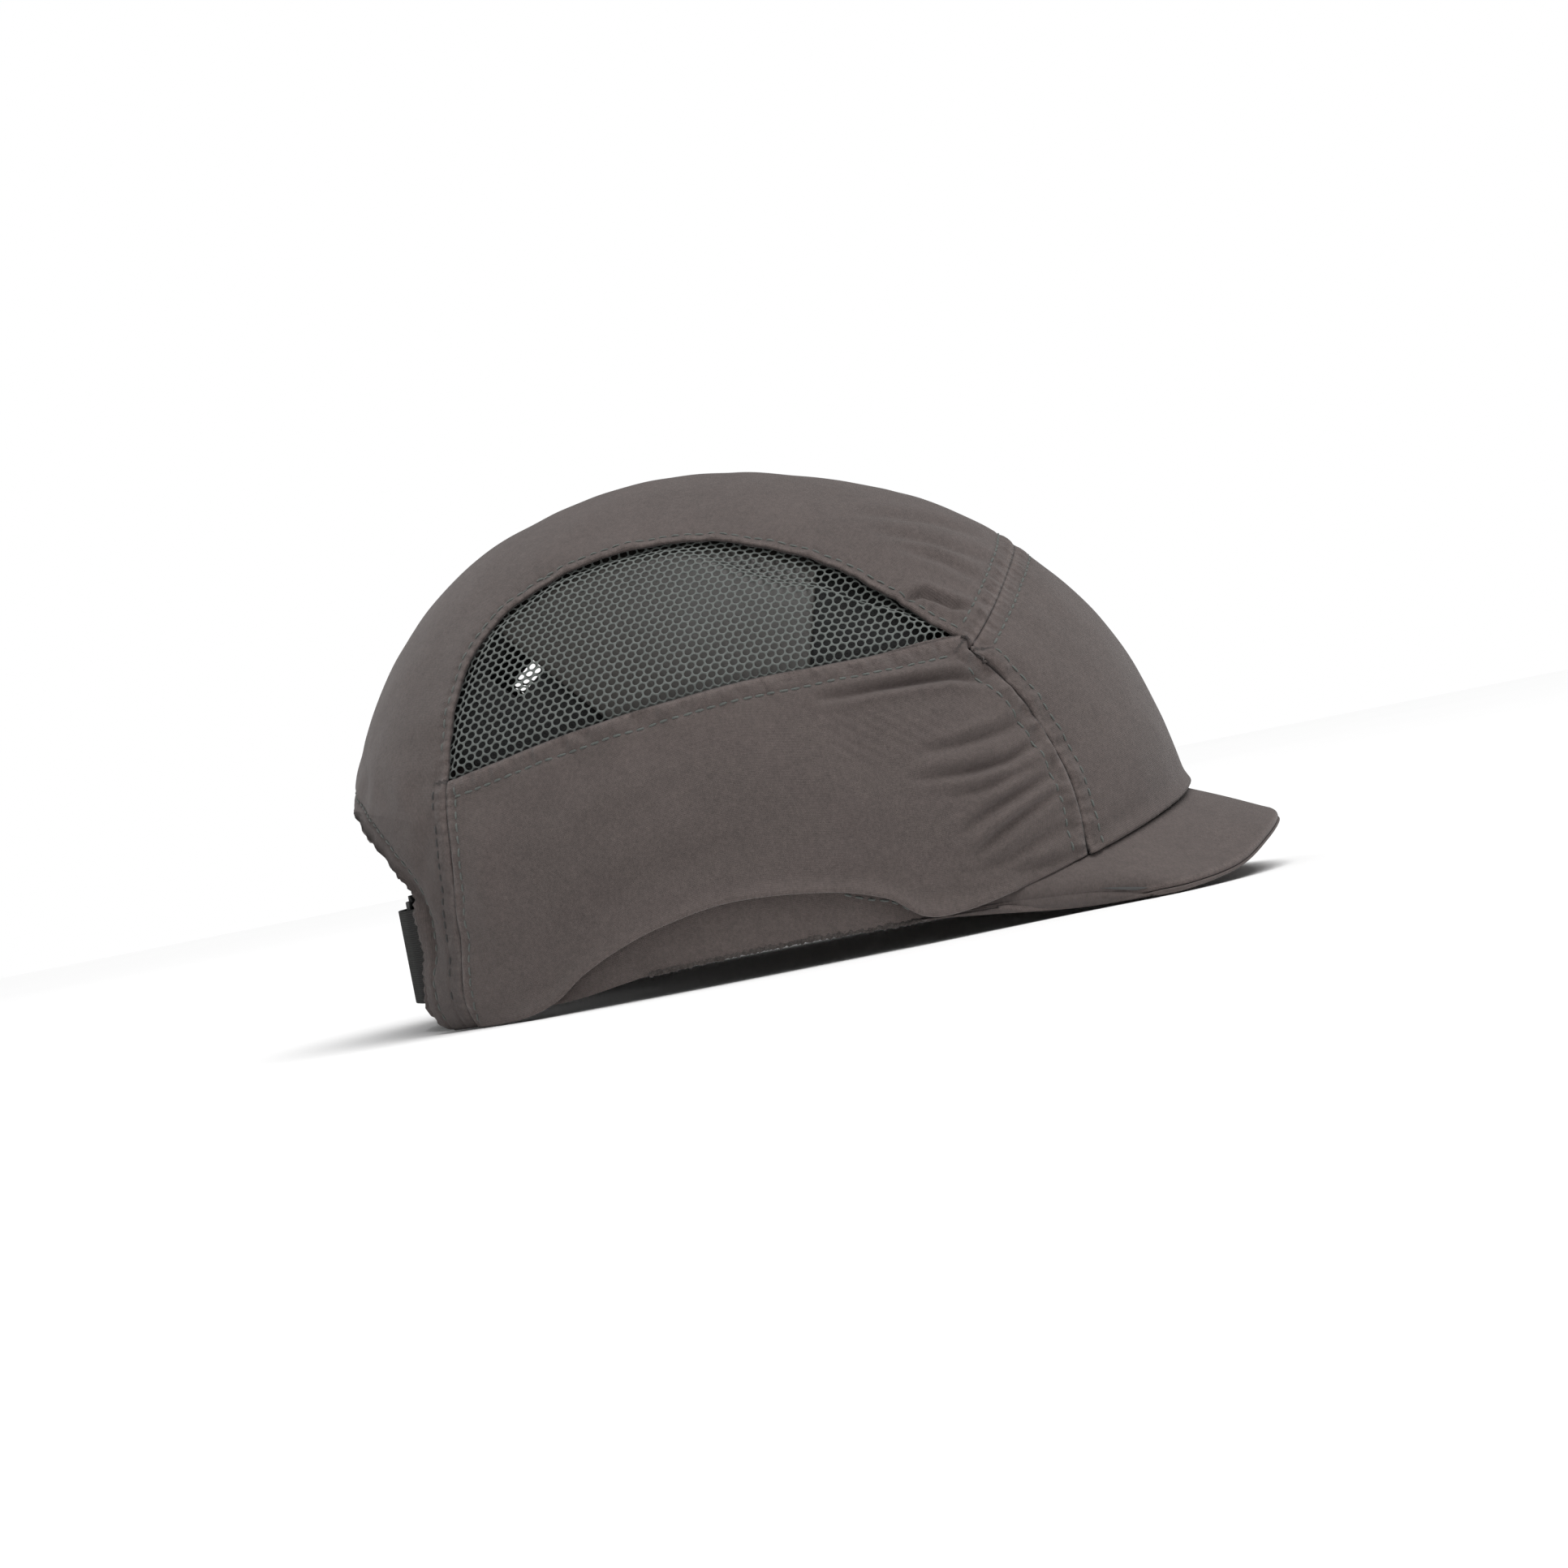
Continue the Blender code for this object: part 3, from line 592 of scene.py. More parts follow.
class Tree:
    """A short way to write a material's nodes."""

    def __init__(self, name, colour, roughness, **sockets):
        self.base = colour
        self.material = bpy.data.materials.new(name)
        self.material.use_nodes = True
        self.material.diffuse_color = (*colour, 1)
        self.tree = self.material.node_tree
        self.shader = self.tree.nodes["Principled BSDF"]
        self.shader.inputs["Base Color"].default_value = (*colour, 1)
        self.shader.inputs["Roughness"].default_value = roughness
        for socket, value in sockets.items():
            self.shader.inputs[socket.replace("_", " ")].default_value = value

    def add(self, kind, links=(), values=(), **settings):
        """Adds a node, with links and values by socket name."""
        made = self.tree.nodes.new("ShaderNode" + kind)
        for key, value in settings.items():
            setattr(made, key, value)
        for socket, value in dict(values).items():
            made.inputs[socket].default_value = value
        for socket, source in dict(links).items():
            self.tree.links.new(source, made.inputs[socket])
        return made

    def math(self, operation, a, b=0.0, clamp=False):
        """A maths node over sockets or numbers."""
        made = self.add("Math", operation=operation, use_clamp=clamp)
        for socket, value in zip(made.inputs, (a, b)):
            if isinstance(value, (int, float)):
                socket.default_value = value
            else:
                self.tree.links.new(value, socket)
        return made.outputs[0]

    def total(self, *pairs):
        """The sum of pairs of sockets or numbers, each pair multiplied."""
        running, *terms = [self.math("MULTIPLY", a, b) for a, b in pairs]
        for term in terms:
            running = self.math("ADD", running, term)
        return running

    def above(self, socket, start, gain):
        """How far a socket is above a start, times a gain, up to 1."""
        return self.math("MULTIPLY", self.math("SUBTRACT", socket, start, clamp=True), gain, clamp=True)

    def noise(self, vector, scale, detail):
        """Noise, from 0 to 1."""
        values = {"Scale": scale, "Detail": detail, "Roughness": 0.6}
        return self.add("TexNoise", {"Vector": vector}, values).outputs["Fac"]

    def cells(self, vector, scale):
        """Distance from the middle of each of many small cells."""
        return self.add("TexVoronoi", {"Vector": vector}, {"Scale": scale}).outputs["Distance"]

    def wave(self, vector, period, direction):
        """A sine wave, from 0 to 1, with a period in the vector's own unit."""
        values = {"Scale": 2 * math.pi / 20 / period, "Distortion": 0.0}
        return self.add("TexWave", {"Vector": vector}, values, bands_direction=direction).outputs["Fac"]

    def flat(self):
        """Flat places on the cloth, in millimetres."""
        return self.add("UVMap", uv_map="flat").outputs["UV"]

    def solid(self):
        """Places in the object's own space, in metres."""
        return self.add("TexCoord").outputs["Object"]

    def mark(self, name):
        """Values that the mesh carries."""
        return self.add("Attribute", attribute_name=name).outputs["Fac"]

    def colour(self, tone, shades):
        """Sends the base colour, between two shades of it, to the shader."""
        ramp = self.add("ValToRGB", {"Fac": tone})
        for element, factor in zip(ramp.color_ramp.elements, shades):
            element.color = (*(min(1.0, channel * factor) for channel in self.base), 1)
        self.tree.links.new(ramp.outputs["Color"], self.shader.inputs["Base Color"])

    def finish(self, tone, shades, gloss, roughness, height, relief, strength=1.0):
        """Sends colour, roughness and relief to the shader, and gives the finished material."""
        self.colour(tone, shades)
        low, high = roughness
        dull = self.add("MapRange", {"Value": gloss}, {"To Min": low, "To Max": high})
        self.tree.links.new(dull.outputs["Result"], self.shader.inputs["Roughness"])
        bump = self.add("Bump", {"Height": height}, {"Distance": relief, "Strength": strength})
        self.tree.links.new(bump.outputs["Normal"], self.shader.inputs["Normal"])
        return self.material


def woven(name, colour, pitch=0.42, contrast=0.2):
    """Plain-woven cloth with worn edges, slight changes of shade, puckers beside its seams, and painted
    shade along each seam line.
    """
    t = Tree(name, colour, 0.9, Sheen_Weight=0.12, Sheen_Roughness=0.5)
    flat, space = t.flat(), t.solid()
    warp, weft = t.wave(flat, pitch, "X"), t.wave(flat, pitch * 1.08, "Y")
    threads = t.total((warp, weft), (t.noise(flat, 1.6, 2.0), 0.7))
    slub, mottle, patchy = t.noise(space, 1300, 2.0), t.noise(space, 420, 3.0), t.noise(space, 42, 4.0)
    wear, near, run = t.mark("wear"), t.mark("seam_near"), t.mark("seam_run")
    shaken = t.total((run, 2 * math.pi * MM / PUCKER_PITCH), (mottle, 5.0))
    pucker = t.math("MULTIPLY", t.math("SINE", shaken), t.above(near, 0.15, 2.5))
    # Right at each seam line (seam_near above 0.93) the colour darkens: painted shade in the seam's groove.
    # The wear term lightens worn edges.
    tone = t.total((threads, contrast), (patchy, 0.34), (slub, 0.70), (mottle, 0.42), (pucker, 0.035),
                   (t.above(near, 0.93, 20.0), -0.40), (t.math("MULTIPLY", wear, slub), 0.45))
    height = t.total((threads, 1.0), (slub, 0.8), (pucker, 1.6), (t.noise(space, 150, 3.0), 3.0))
    return t.finish(t.math("SUBTRACT", tone, 0.42, clamp=True), (0.55, 1.60), threads, (0.82, 0.96),
                    height, 0.00009, 0.9)


def knitted_thread(name, colour):
    """Twisted yarn."""
    t = Tree(name, colour, 0.75, Sheen_Weight=0.2, Sheen_Roughness=0.4)
    space = t.solid()
    fibres = t.noise(space, 3800, 3.0)
    tone = t.total((fibres, 0.6), (t.noise(space, 300, 2.0), 0.4))
    return t.finish(tone, (0.45, 1.55), fibres, (0.62, 0.88), fibres, 0.00012)


def towelling(name, colour):
    """Looped towelling."""
    t = Tree(name, colour, 1.0, Sheen_Weight=0.08, Sheen_Roughness=0.6)
    space = t.solid()
    loops, clumps = t.cells(space, 1100.0), t.noise(space, 260, 4.0)
    tone = t.total((loops, -0.7), (clumps, 1.1))
    return t.finish(tone, (0.6, 1.6), loops, (0.9, 1.0), t.math("SUBTRACT", clumps, loops), 0.0006)


def moulded(name, colour, roughness=0.5):
    """Moulded plastic with a fine spark-eroded grain."""
    t = Tree(name, colour, roughness)
    space = t.solid()
    grain, flow = t.noise(space, 1800, 2.0), t.noise(space, 35, 3.0)
    tone = t.total((grain, 0.3), (flow, 0.7))
    return t.finish(tone, (0.75, 1.3), flow, (roughness - 0.08, roughness + 0.15), grain, 0.00005)


def foam_sheet(name, colour):
    """Closed-cell foam."""
    t = Tree(name, colour, 0.95)
    space = t.solid()
    cells, patchy = t.cells(space, 1500.0), t.noise(space, 90, 3.0)
    tone = t.total((cells, 0.5), (patchy, 0.5))
    return t.finish(tone, (0.6, 1.8), patchy, (0.86, 1.0), cells, 0.00018)


def ribbed_tape(name, colour, rib=0.9, across=0.55):
    """Woven tape: ribs along one way, fine threads the other."""
    t = Tree(name, colour, 0.8, Specular_IOR_Level=0.2)
    flat = t.flat()
    ribs, threads = t.wave(flat, rib, "X"), t.wave(flat, across, "Y")
    height = t.total((ribs, threads), (t.noise(t.solid(), 2600, 2.0), 0.35))
    return t.finish(height, (0.55, 2.0), height, (0.85, 0.6), height, 0.00022)


def pile(name, colour, size, relief):
    """Hook or loop pile: close-set tufts."""
    t = Tree(name, colour, 0.9, Sheen_Weight=0.2, Sheen_Roughness=0.5)
    flat = t.flat()
    tufts = t.math("MULTIPLY", t.wave(flat, size, "X"), t.wave(flat, size, "Y"))
    fuzz = t.noise(t.solid(), 1500, 4.0)
    height = t.total((tufts, 0.6), (fuzz, 0.6))
    return t.finish(height, (0.5, 2.4), fuzz, (0.75, 1.0), height, relief)


def make_materials():
    """The finish of every slot, and of both threads."""
    return {
        "cap_cloth": woven("cap_cloth", (0.087, 0.069, 0.064)),
        "seam_tape": woven("seam_tape", (0.085, 0.073, 0.068), pitch=0.6, contrast=0.25),
        "air_mesh": knitted_thread("air_mesh_yarn", (0.120, 0.132, 0.124)),
        "thread": knitted_thread("sewing_thread", (0.095, 0.104, 0.096)),
        "dark_thread": knitted_thread("dark_thread", (0.035, 0.033, 0.032)),
        "terry": towelling("terry", (0.060, 0.049, 0.045)),
        "shell_plastic": moulded("shell_plastic", (0.044, 0.040, 0.036)),
        "peak_board": moulded("peak_board", (0.05, 0.05, 0.05), 0.6),
        "foam": foam_sheet("foam", (0.014, 0.014, 0.014)),
        "elastic": ribbed_tape("elastic", (0.075, 0.066, 0.062), rib=1.4, across=0.7),
        "webbing": ribbed_tape("webbing", (0.0065, 0.0065, 0.0055)),
        "hook_pile": pile("hook_pile", (0.012, 0.013, 0.012), 1.3, 0.0004),
        "loop_pile": pile("loop_pile", (0.016, 0.017, 0.016), 1.9, 0.0005),
    }


# ---- cloth panels

GROUND = {}


def remember(name, points, faces):
    """Keeps a panel's surface, so that stitches can lie on it."""
    GROUND[name] = BVHTree.FromPolygons(points.reshape(-1, 3).tolist(), faces.tolist())


def dots(points):
    """Height of the net's knots showing through the cloth below the sill."""
    s, z = -points[..., 1], points[..., 2]
    aside = [(at - middle) / far for at, middle, far in zip((s, z), DOTS_PLACE, DOTS_REACH)]
    window = np.exp(-aside[0] ** 4 - aside[1] ** 4)
    along, up = 2 * np.pi * s / DOTS_PITCH, 2 * np.pi * (z - 0.2 * s) / DOTS_PITCH
    return DOTS_HEIGHT * window * np.cos(along) * np.cos(up)


def relief(points, seams, seed, edges):
    """Height of a panel's cloth over the skin, and its wear and nearest seam at each point."""
    height = sum(rise * drape(points, size, wave_seed) for rise, size, wave_seed in WAVES)
    wear, near, run = np.zeros((3, *points.shape[:-1]))
    for line, stitch, pucker, roll in seams:
        added, distance, along = beside_seam(points, line, stitch, pucker, roll, seed + stitch * 1000)
        height += added
        closeness = np.clip(1 - distance / SEAM_REACH, 0, 1)
        run = np.where(closeness > near, along / MM, run)
        near = np.maximum(near, closeness)
        wear = np.maximum(wear, bell(distance - 0.0009, 0.0007))
    for line in edges:
        distance, _ = near_line(points, line)
        height += HEM_ROLL * bell(distance, 2 * HEM_ROLL) - 0.0005 * bell(distance, 0.0005)
        wear = np.maximum(wear, bell(distance, 0.0010))
    behind = np.clip((points[..., 1] - CORNER_START_Y) / CORNER_LENGTH, 0, 1)
    height -= CORNER_TUCK * behind * np.clip(1 - points[..., 2] / CORNER_HEIGHT, 0, 1) ** 2
    return height, {"wear": wear, "seam_near": near, "seam_run": run}


def sewn(name, grids, seams, seed, folds=(), edges=(), dotted=False):
    """A cloth panel over grids of skin points. A seam is (line, row of stitches, pucker, roll)."""
    points = np.stack(grids)
    height, marks = relief(points, seams, seed, edges)
    for fold in folds:
        height += over_fold(points, *fold)
    if dotted:
        height += dots(points)
    verts = (points + outward(points) * height[..., None]).reshape(-1, 3)
    count = len(verts) // len(grids)
    faces = [facing_out(grid.reshape(-1, 3), grid_faces(grid)) + k * count for k, grid in enumerate(grids)]
    faces = np.concatenate(faces)
    item = make_object(name, verts, faces, np.stack([arc_lengths(grid) for grid in grids]), **marks)
    if len(grids) > 1:
        weld(item)
    thicken(item, CLOTH)
    remember(name, verts, faces)
    place(item, "cap_cloth", [name])


def gather(points, name):
    """Height of cloth that elastic has drawn together along an edge."""
    distance, along = near_line(points, name)
    turn = 2 * np.pi * along / SCALLOP_PITCH + 1.5 * wander(along, along, 0.01, GATHER_SEED)
    height = SCALLOP * np.cos(turn) * bell(distance, 0.0022)
    wide = wander(along, distance * 0.25, 0.0060, GATHER_SEED + 2)
    height += WIDE_PUCKER * wide * np.exp(-distance / 0.009)
    return height - 0.0007 * bell(distance, 0.0009) - 0.0006 * bell(distance - ROW["arch"], 0.0009)


def add_front_panel():
    """The brow panel."""
    share = np.linspace(-1, 1, 150)
    share = (share + 0.10 * np.sin(np.pi * share)) * FRONT_SEAM_SHARE
    low, high = rim_station(share), cross_seam(share)
    points = skin(low + (high - low) * cluster(96)[:, None], share)
    seams = [("cross", ROW["cross_front"], 0.8, CROSS_ROLL)]
    seams += [("front_" + word, ROW["front"], 1.9, 0.9) for word, _ in SIDES]
    sewn("front_panel", [points], seams, 11, edges=["rim"])


def crown_half(word, side):
    """Half the crown panel: rows from the cross seam over the top, then down beside the arch."""
    apex = ARCH_STATION - ARCH_HEIGHT_DEGREES
    column = np.linspace(0, 1, 76)
    column = column + 0.05 * np.sin(np.pi * column)
    start = cross_seam(column * smooth(CROWN_EDGE, CROSS_SEAM_END))
    station = start + (apex - start) * cluster(215)[:, None]
    top = skin(station, side * column * smooth(CROWN_EDGE, station))
    inner_station, inner = arch_line(np.linspace(0, 90, 34)[1:], np.linspace(0, 1, 34)[1:]).T[:, :, None]
    outer_station = np.linspace(apex, NAPE_STATION, len(inner) + 1)[1:, None]
    station = inner_station + (outer_station - inner_station) * column
    down = np.clip((station - ARCH_STATION) / (NAPE_STATION - ARCH_STATION), 0, 1)
    station = station - CORNER_ROUNDING * round_off(column / CORNER_COLUMNS) * down ** 2
    leg = skin(station, side * (inner + (smooth(CROWN_EDGE, outer_station) - inner) * column))
    points = np.concatenate((top, leg))
    return points + outward(points) * gather(points, "arch_" + word)[..., None]


def add_crown_panel():
    """The panel over the top, with a leg down each side of the arch."""
    seams = [("cross", ROW["cross_rear"], 1.2, CROSS_ROLL)]
    for word, _ in SIDES:
        seams += [("net_" + word, ROW["net"], 0.9, 0.8), ("rear_" + word, ROW["leg"], 1.0, 0.6)]
    sewn("crown_panel", [crown_half(*side) for side in SIDES], seams, 23, CROWN_FOLDS)


def side_panel_grid(side, rows, columns):
    """Skin points of the four-sided panel over the ear."""
    foot = rim_station(FRONT_SEAM_SHARE)
    u = cluster(columns)[:, None]

    def rear(v):
        return np.array(crown_edge(NAPE_STATION + (MESH_REAR_STATION - NAPE_STATION) * v))

    def front(v):
        return np.array(side_view(foot + (CROSS_SEAM_END - foot) * v, FRONT_SEAM_SHARE))

    def straight(v):
        return rear(v) * (1 - u) + front(v) * u

    def bend(knots, v):
        """How far an edge of the panel is from the straight line between its ends."""
        s = knots[0][0] + (knots[-1][0] - knots[0][0]) * u
        return np.hstack((s, smooth(knots, s))) - straight(v)

    hem = bend([tuple(rear(0.0)), *SIDE_HEM, tuple(front(0.0))], 0.0)
    sill = bend([*sill_knots(), tuple(front(1.0))], 1.0)
    points = np.stack([straight(v) + hem * (1 - v) + sill * v for v in cluster(rows)])
    return skin_over(points[..., 0], points[..., 1], side)


def add_side_panel(word, side):
    """The panel over one ear."""
    seams = [("front_" + word, ROW["front"], 2.0, 0.9), ("sill_" + word, ROW["sill"], 1.5, 0.8),
             ("rear_" + word, ROW["rear"], 1.2, 0.6)]
    sewn("side_panel_" + word, [side_panel_grid(side, 104, 226)], seams, 61 + side, SIDE_FOLDS,
         ["hem_" + word], True)


# ---- net

def lens_columns(side):
    """Places along the sill, and for each one the heights above it, how far along the cloth
    they are, and how far along the cloth the crown's edge is."""
    beyond = 0.003
    sill = sill_knots()
    top_s, top_z = crown_edge(np.linspace(MESH_REAR_STATION, MESH_FRONT_STATION, 300))
    s_line = np.linspace(sill[0][0], sill[-1][0], 300)
    columns = []
    for s in s_line:
        low, high = smooth(sill, s), np.interp(s, top_s, top_z)
        z = np.linspace(low - beyond, high + beyond, 60)
        z = z[reach(s, z) < 0.999]
        gone = travelled(skin_over(s, z, side))
        gone = gone - np.interp(low, z, gone)
        columns.append((z, gone, float(np.interp(high, z, gone))))
    return s_line, columns


def net_height(points, word, side):
    """Height of the net over the skin: tucked under at its edges, and folded behind its top."""
    sill_gap, _ = near_line(points, "sill_" + word)
    top_gap, _ = near_line(points, "net_" + word)
    height = 0.0003 * drape(points, 0.012, 5 + side) - 0.0003
    height -= NET_TUCK * bell(np.minimum(sill_gap, top_gap), 0.0018)
    height += over_fold(points, NET_CREASE[1:], 1.4, 1.6)
    crease = np.array(NET_CREASE) * MM
    s, z = -points[:, 1], points[:, 2]
    above = np.maximum(z - smooth(crease, s), 0) * (s > crease[0][0])
    drop = NET_DROP_REAR + (NET_DROP_FRONT - NET_DROP_REAR) * np.clip((s - 0.006) / 0.018, 0, 1)
    return height - drop * (1 - bell(above, 0.0022)) * np.clip(top_gap / 0.004, 0, 1)


def add_net(word, side):
    """The lens of hexagonal net, tucked under the cloth all round."""
    s_line, columns = lens_columns(side)
    across, up = NET_PITCH / 2, NET_ROW / 3

    def column(x):
        """The place x half cells along the sill, and the lens there."""
        s = s_line[0] + x * across
        return s, columns[min(np.searchsorted(s_line, s), len(s_line) - 1)]

    numbers, faces = {}, []
    for row in range(-1, 42):
        for cell in range(80):
            x, y = 2 * cell + row % 2, 3 * row
            s, (_, _, top) = column(x)
            if s > s_line[-1] - 0.001 or not -NET_TUCK < y * up < top + NET_TUCK:
                continue
            corners = [(x + dx, y + dy) for dx, dy in HEXAGON]
            faces.append([numbers.setdefault(corner, len(numbers)) for corner in corners])
    places = []
    for x, y in numbers:
        s, (z, gone, _) = column(x)
        places.append((s, np.interp(y * up, gone, z)))
    points = skin_over(*np.array(places).T, side)
    points = points + outward(points) * net_height(points, word, side)[:, None]
    item = make_object("mesh_panel_" + word, points, faces, centre=INSIDE)
    threads = item.modifiers.new("threads", "WIREFRAME")
    threads.thickness = NET_THREAD
    threads.use_even_offset = False
    threads.use_boundary = True
    soften(item)
    place(item, "air_mesh", ["mesh_panel_" + word])


# ---- stitching

def offset_line(line, distance):
    """A line beside another on the skin: to its left is positive, seen from outside."""
    return line + np.cross(outward(line), unit(np.gradient(line, axis=0))) * distance


def settle(point, normal, ground):
    """The point moved along its normal onto a remembered surface, or none."""
    hit = GROUND[ground].ray_cast(Vector(point + normal * 0.006), -Vector(normal), 0.012)[0]
    return None if hit is None else np.array(hit)


def bent_thread(first, last, lean, ground):
    """The points of one stitch, ring by ring. There are none where no cloth lies under it."""
    normal = outward((first + last) / 2)
    beside = np.cross(normal, unit(last - first))
    points = []
    for share, size, lift in STITCH_RINGS:
        centre = settle(first + (last - first) * share + beside * lean * (share - 0.5) * 2, normal, ground)
        if centre is None:
            return []
        for turn in np.linspace(0, 2 * math.pi, STITCH_SIDES, endpoint=False):
            around = beside * math.cos(turn) * 1.15 + normal * math.sin(turn) * 0.9
            points.append(centre + around * THREAD_RADIUS * size + normal * lift * MM)
    return points


def thread_faces(base):
    """The faces of one stitch, by the number of its first point."""
    rings = np.arange(len(STITCH_RINGS) * STITCH_SIDES).reshape(-1, STITCH_SIDES) + base
    beside = np.roll(rings, -1, axis=1)
    quads = np.stack((rings[:-1], beside[:-1], beside[1:], rings[1:]), -1).reshape(-1, 4)
    return [*quads.tolist(), rings[0, ::-1].tolist(), rings[-1].tolist()]


def stitch_row(name, line, ground, trim=TRIM, skip=0.0, thread="thread"):
    """A row of stitches lying on the cloth, each a short bent thread."""
    line = even(line)
    step = length(line[1] - line[0])
    total = step * (len(line) - 1)
    verts, faces = [], []
    at = trim
    while at + STITCH_LENGTH < total - trim:
        spread = STITCH_LENGTH * (1 + 0.08 * chance.uniform(-1, 1))
        lean = 0.00008 * chance.uniform(-1, 1)
        start = at + 0.0001 * chance.uniform(-1, 1)
        at += STITCH_PITCH
        if chance.random() < skip:
            continue
        first, last = line[int(start / step)], line[min(int((start + spread) / step), len(line) - 1)]
        points = bent_thread(first, last, lean, ground)
        if points:
            faces += thread_faces(len(verts))
            verts += points
    place(make_object(name, verts, faces), "seam_tape", finish=thread)


def add_stitching():
    """The rows of stitches beside every seam."""
    crown, front = "crown_panel", "front_panel"
    stitch_row("stitches_cross_rear", offset_line(LINES["cross"], ROW["cross_rear"]), crown, LONG_TRIM)
    stitch_row("stitches_cross_front", offset_line(LINES["cross"], -ROW["cross_front"]), front, LONG_TRIM)
    for word, side in SIDES:
        panel = "side_panel_" + word
        rows = (("front_inner_", "front_", ROW["front"], front, {}),
                ("front_outer_", "front_", -ROW["front"], panel, {}),
                ("net_", "net_", ROW["net"], crown, {"trim": LONG_TRIM}),
                ("sill_", "sill_", ROW["sill"], panel, {}),
                ("rear_", "rear_", -ROW["rear"], panel, {}),
                ("leg_", "rear_", ROW["leg"], crown, {"skip": 0.25, "thread": "dark_thread"}),
                ("arch_", "arch_", -ROW["arch"], crown, {}))
        for name, seam, beside, ground, more in rows:
            line = offset_line(LINES[seam + word], beside * side)
            stitch_row("stitches_" + name + word, line, ground, **more)
        s = np.linspace(BAND_STITCH[0][0], BAND_STITCH[-1][0], 40)
        line = skin_over(s, smooth(BAND_STITCH, s), side)
        stitch_row("stitches_band_" + word, line, "ear_band_" + word, trim=0.0)


# ---- bands, tapes, pads and shell

def add_band_piece(name, points, depth, thickness, slot, seed, fuzz=0.0):
    """A single band below the skin, with a soft surface."""
    rough = 0.00018 * drape(points, 0.009, seed) + fuzz * drape(points, 0.0011, seed + 1)
    inner = points - outward(points) * (depth - rough)[..., None]
    item = make_object(name, inner, None, arc_lengths(points), INSIDE)
    remember(name, inner, grid_faces(inner))
    thicken(item, thickness, bevel=0.3 * thickness)
    place(item, slot, [name])


def add_ear_band(word, side):
    """The headband that shows below the side hem."""
    s = np.linspace(EAR_HEM[0][0], EAR_HEM[-1][0], 160)
    low = smooth(EAR_HEM, s)
    points = skin_over(s, low + (EAR_BAND_TOP_Z - low) * np.linspace(0, 1, 30)[:, None], side)
    add_band_piece("ear_band_" + word, points, INNER_DEPTH, BAND, "cap_cloth", 71 + side, 0.00005)


def add_terry_edge(word, side):
    """The fuzzy roll of towelling along the band's lower edge."""
    radius, loop_height, loop_size = 0.0007, 0.40, 0.0009
    s = np.linspace(-0.050, 0.034, 420)
    line = skin_over(s, smooth(EAR_HEM, s) + 0.0002, side)
    normal = outward(line)
    line = line - normal * (BAND_DEPTH + BAND * 0.6)
    up = np.array((0.0, 0.0, 1.0))
    turns = np.linspace(0, 2 * math.pi, 10, endpoint=False)
    spokes = [(normal * math.cos(turn) + up * math.sin(turn)) * radius for turn in turns]
    spokes = np.stack(spokes + spokes[:1], 1)
    loops = 1 + loop_height * drape(line[:, None] + spokes, loop_size, 88 + side)
    item = make_object("terry_edge_" + word, line[:, None] + spokes * loops[..., None])
    weld(item)
    place(item, "terry")


def add_sweatband():
    """The towelling brow band."""
    end_share = FRONT_SEAM_SHARE - 0.02
    share = np.linspace(-1, 1, 150) * end_share
    low = rim_station(share) + 0.5
    points = skin(low + (SWEATBAND_TOP_STATION - low) * np.linspace(0, 1, 34)[:, None], share)
    low_z = rim_z(end_share * HALF_WIDTH)
    climb = (points[..., 2] - low_z) / (skin(SWEATBAND_TOP_STATION, 0.0)[2] - low_z)
    depth = BAND_DEPTH + (PAD_DEPTH - BAND_DEPTH) * np.minimum(2.2 * climb, 1.0)
    add_band_piece("front_sweatband", points, depth, SWEATBAND, "terry", 31, 0.00025)


def add_seam_tapes():
    """Binding tapes behind the cross seam and the front seams."""
    half = math.degrees(TAPE_WIDTH / 2 / OUTLINE[2][1])
    share = np.linspace(-0.74, 0.74, 150)
    points = skin(cross_seam(share) + np.linspace(-half, half, 12)[:, None], share)
    add_band_piece("cross_seam_tape", points, TAPE_DEPTH, TAPE, "seam_tape", 51)
    for word, side in SIDES:
        share = side * np.linspace(FRONT_SEAM_SHARE - 0.035, FRONT_SEAM_SHARE + 0.06, 12)
        points = skin(np.linspace(7, CROSS_SEAM_END - 4, 60)[:, None], share)
        add_band_piece("front_seam_tape_" + word, points, TAPE_DEPTH, TAPE, "seam_tape", 53)


def add_arch_elastic():
    """The gathered elastic inside the arch's edge."""
    rows = []
    for grow in np.linspace(0.30, 1.38, 8):
        run = arch_line(np.linspace(0, 90, 60), np.linspace(0.02, 1, 40), grow, ELASTIC_END_STATION)
        both = np.concatenate((run[::-1] * (1, -1), run[1:]))
        rows.append(skin(both[:, 0], both[:, 1]))
    points = np.stack(rows)
    gathers = 0.00025 * np.cos(np.arange(points.shape[1]) * 1.45)
    points = points + outward(points) * gathers[None, :, None]
    add_band_piece("arch_elastic", points, INNER_DEPTH, ELASTIC, "elastic", 57)


def pillow(name, station, share, keep, roundness, seed):
    """A foam pad on the inside of the crown, with rounded edges."""
    points = skin(station[:, None], share[None, :])
    outwards = outward(points)
    cells = grid_faces(points, keep)
    edges = np.sort(np.stack((cells, np.roll(cells, -1, axis=1)), -1).reshape(-1, 2), axis=1)
    edges, times = np.unique(edges, axis=0, return_counts=True)
    every = points.reshape(-1, 3)
    border = search_tree(every[np.unique(edges[times == 1])])
    distance = np.array([border.find(point)[2] for point in every]).reshape(points.shape[:-1])
    closing = round_off(distance / roundness)
    puff = 0.0003 * drape(points, 0.02, seed) * (1 - closing)
    near = PAD_DEPTH + PAD / 2 * closing
    far = PAD_DEPTH + PAD - PAD / 2 * closing + puff
    verts = np.concatenate([(points - outwards * depth[..., None]).reshape(-1, 3) for depth in (near, far)])
    faces = np.concatenate((cells, cells[:, ::-1] + len(every)))
    item = make_object(name, *used_only(verts, faces))
    weld(item, 0.00003)
    soften(item)
    place(item, "foam", [name])


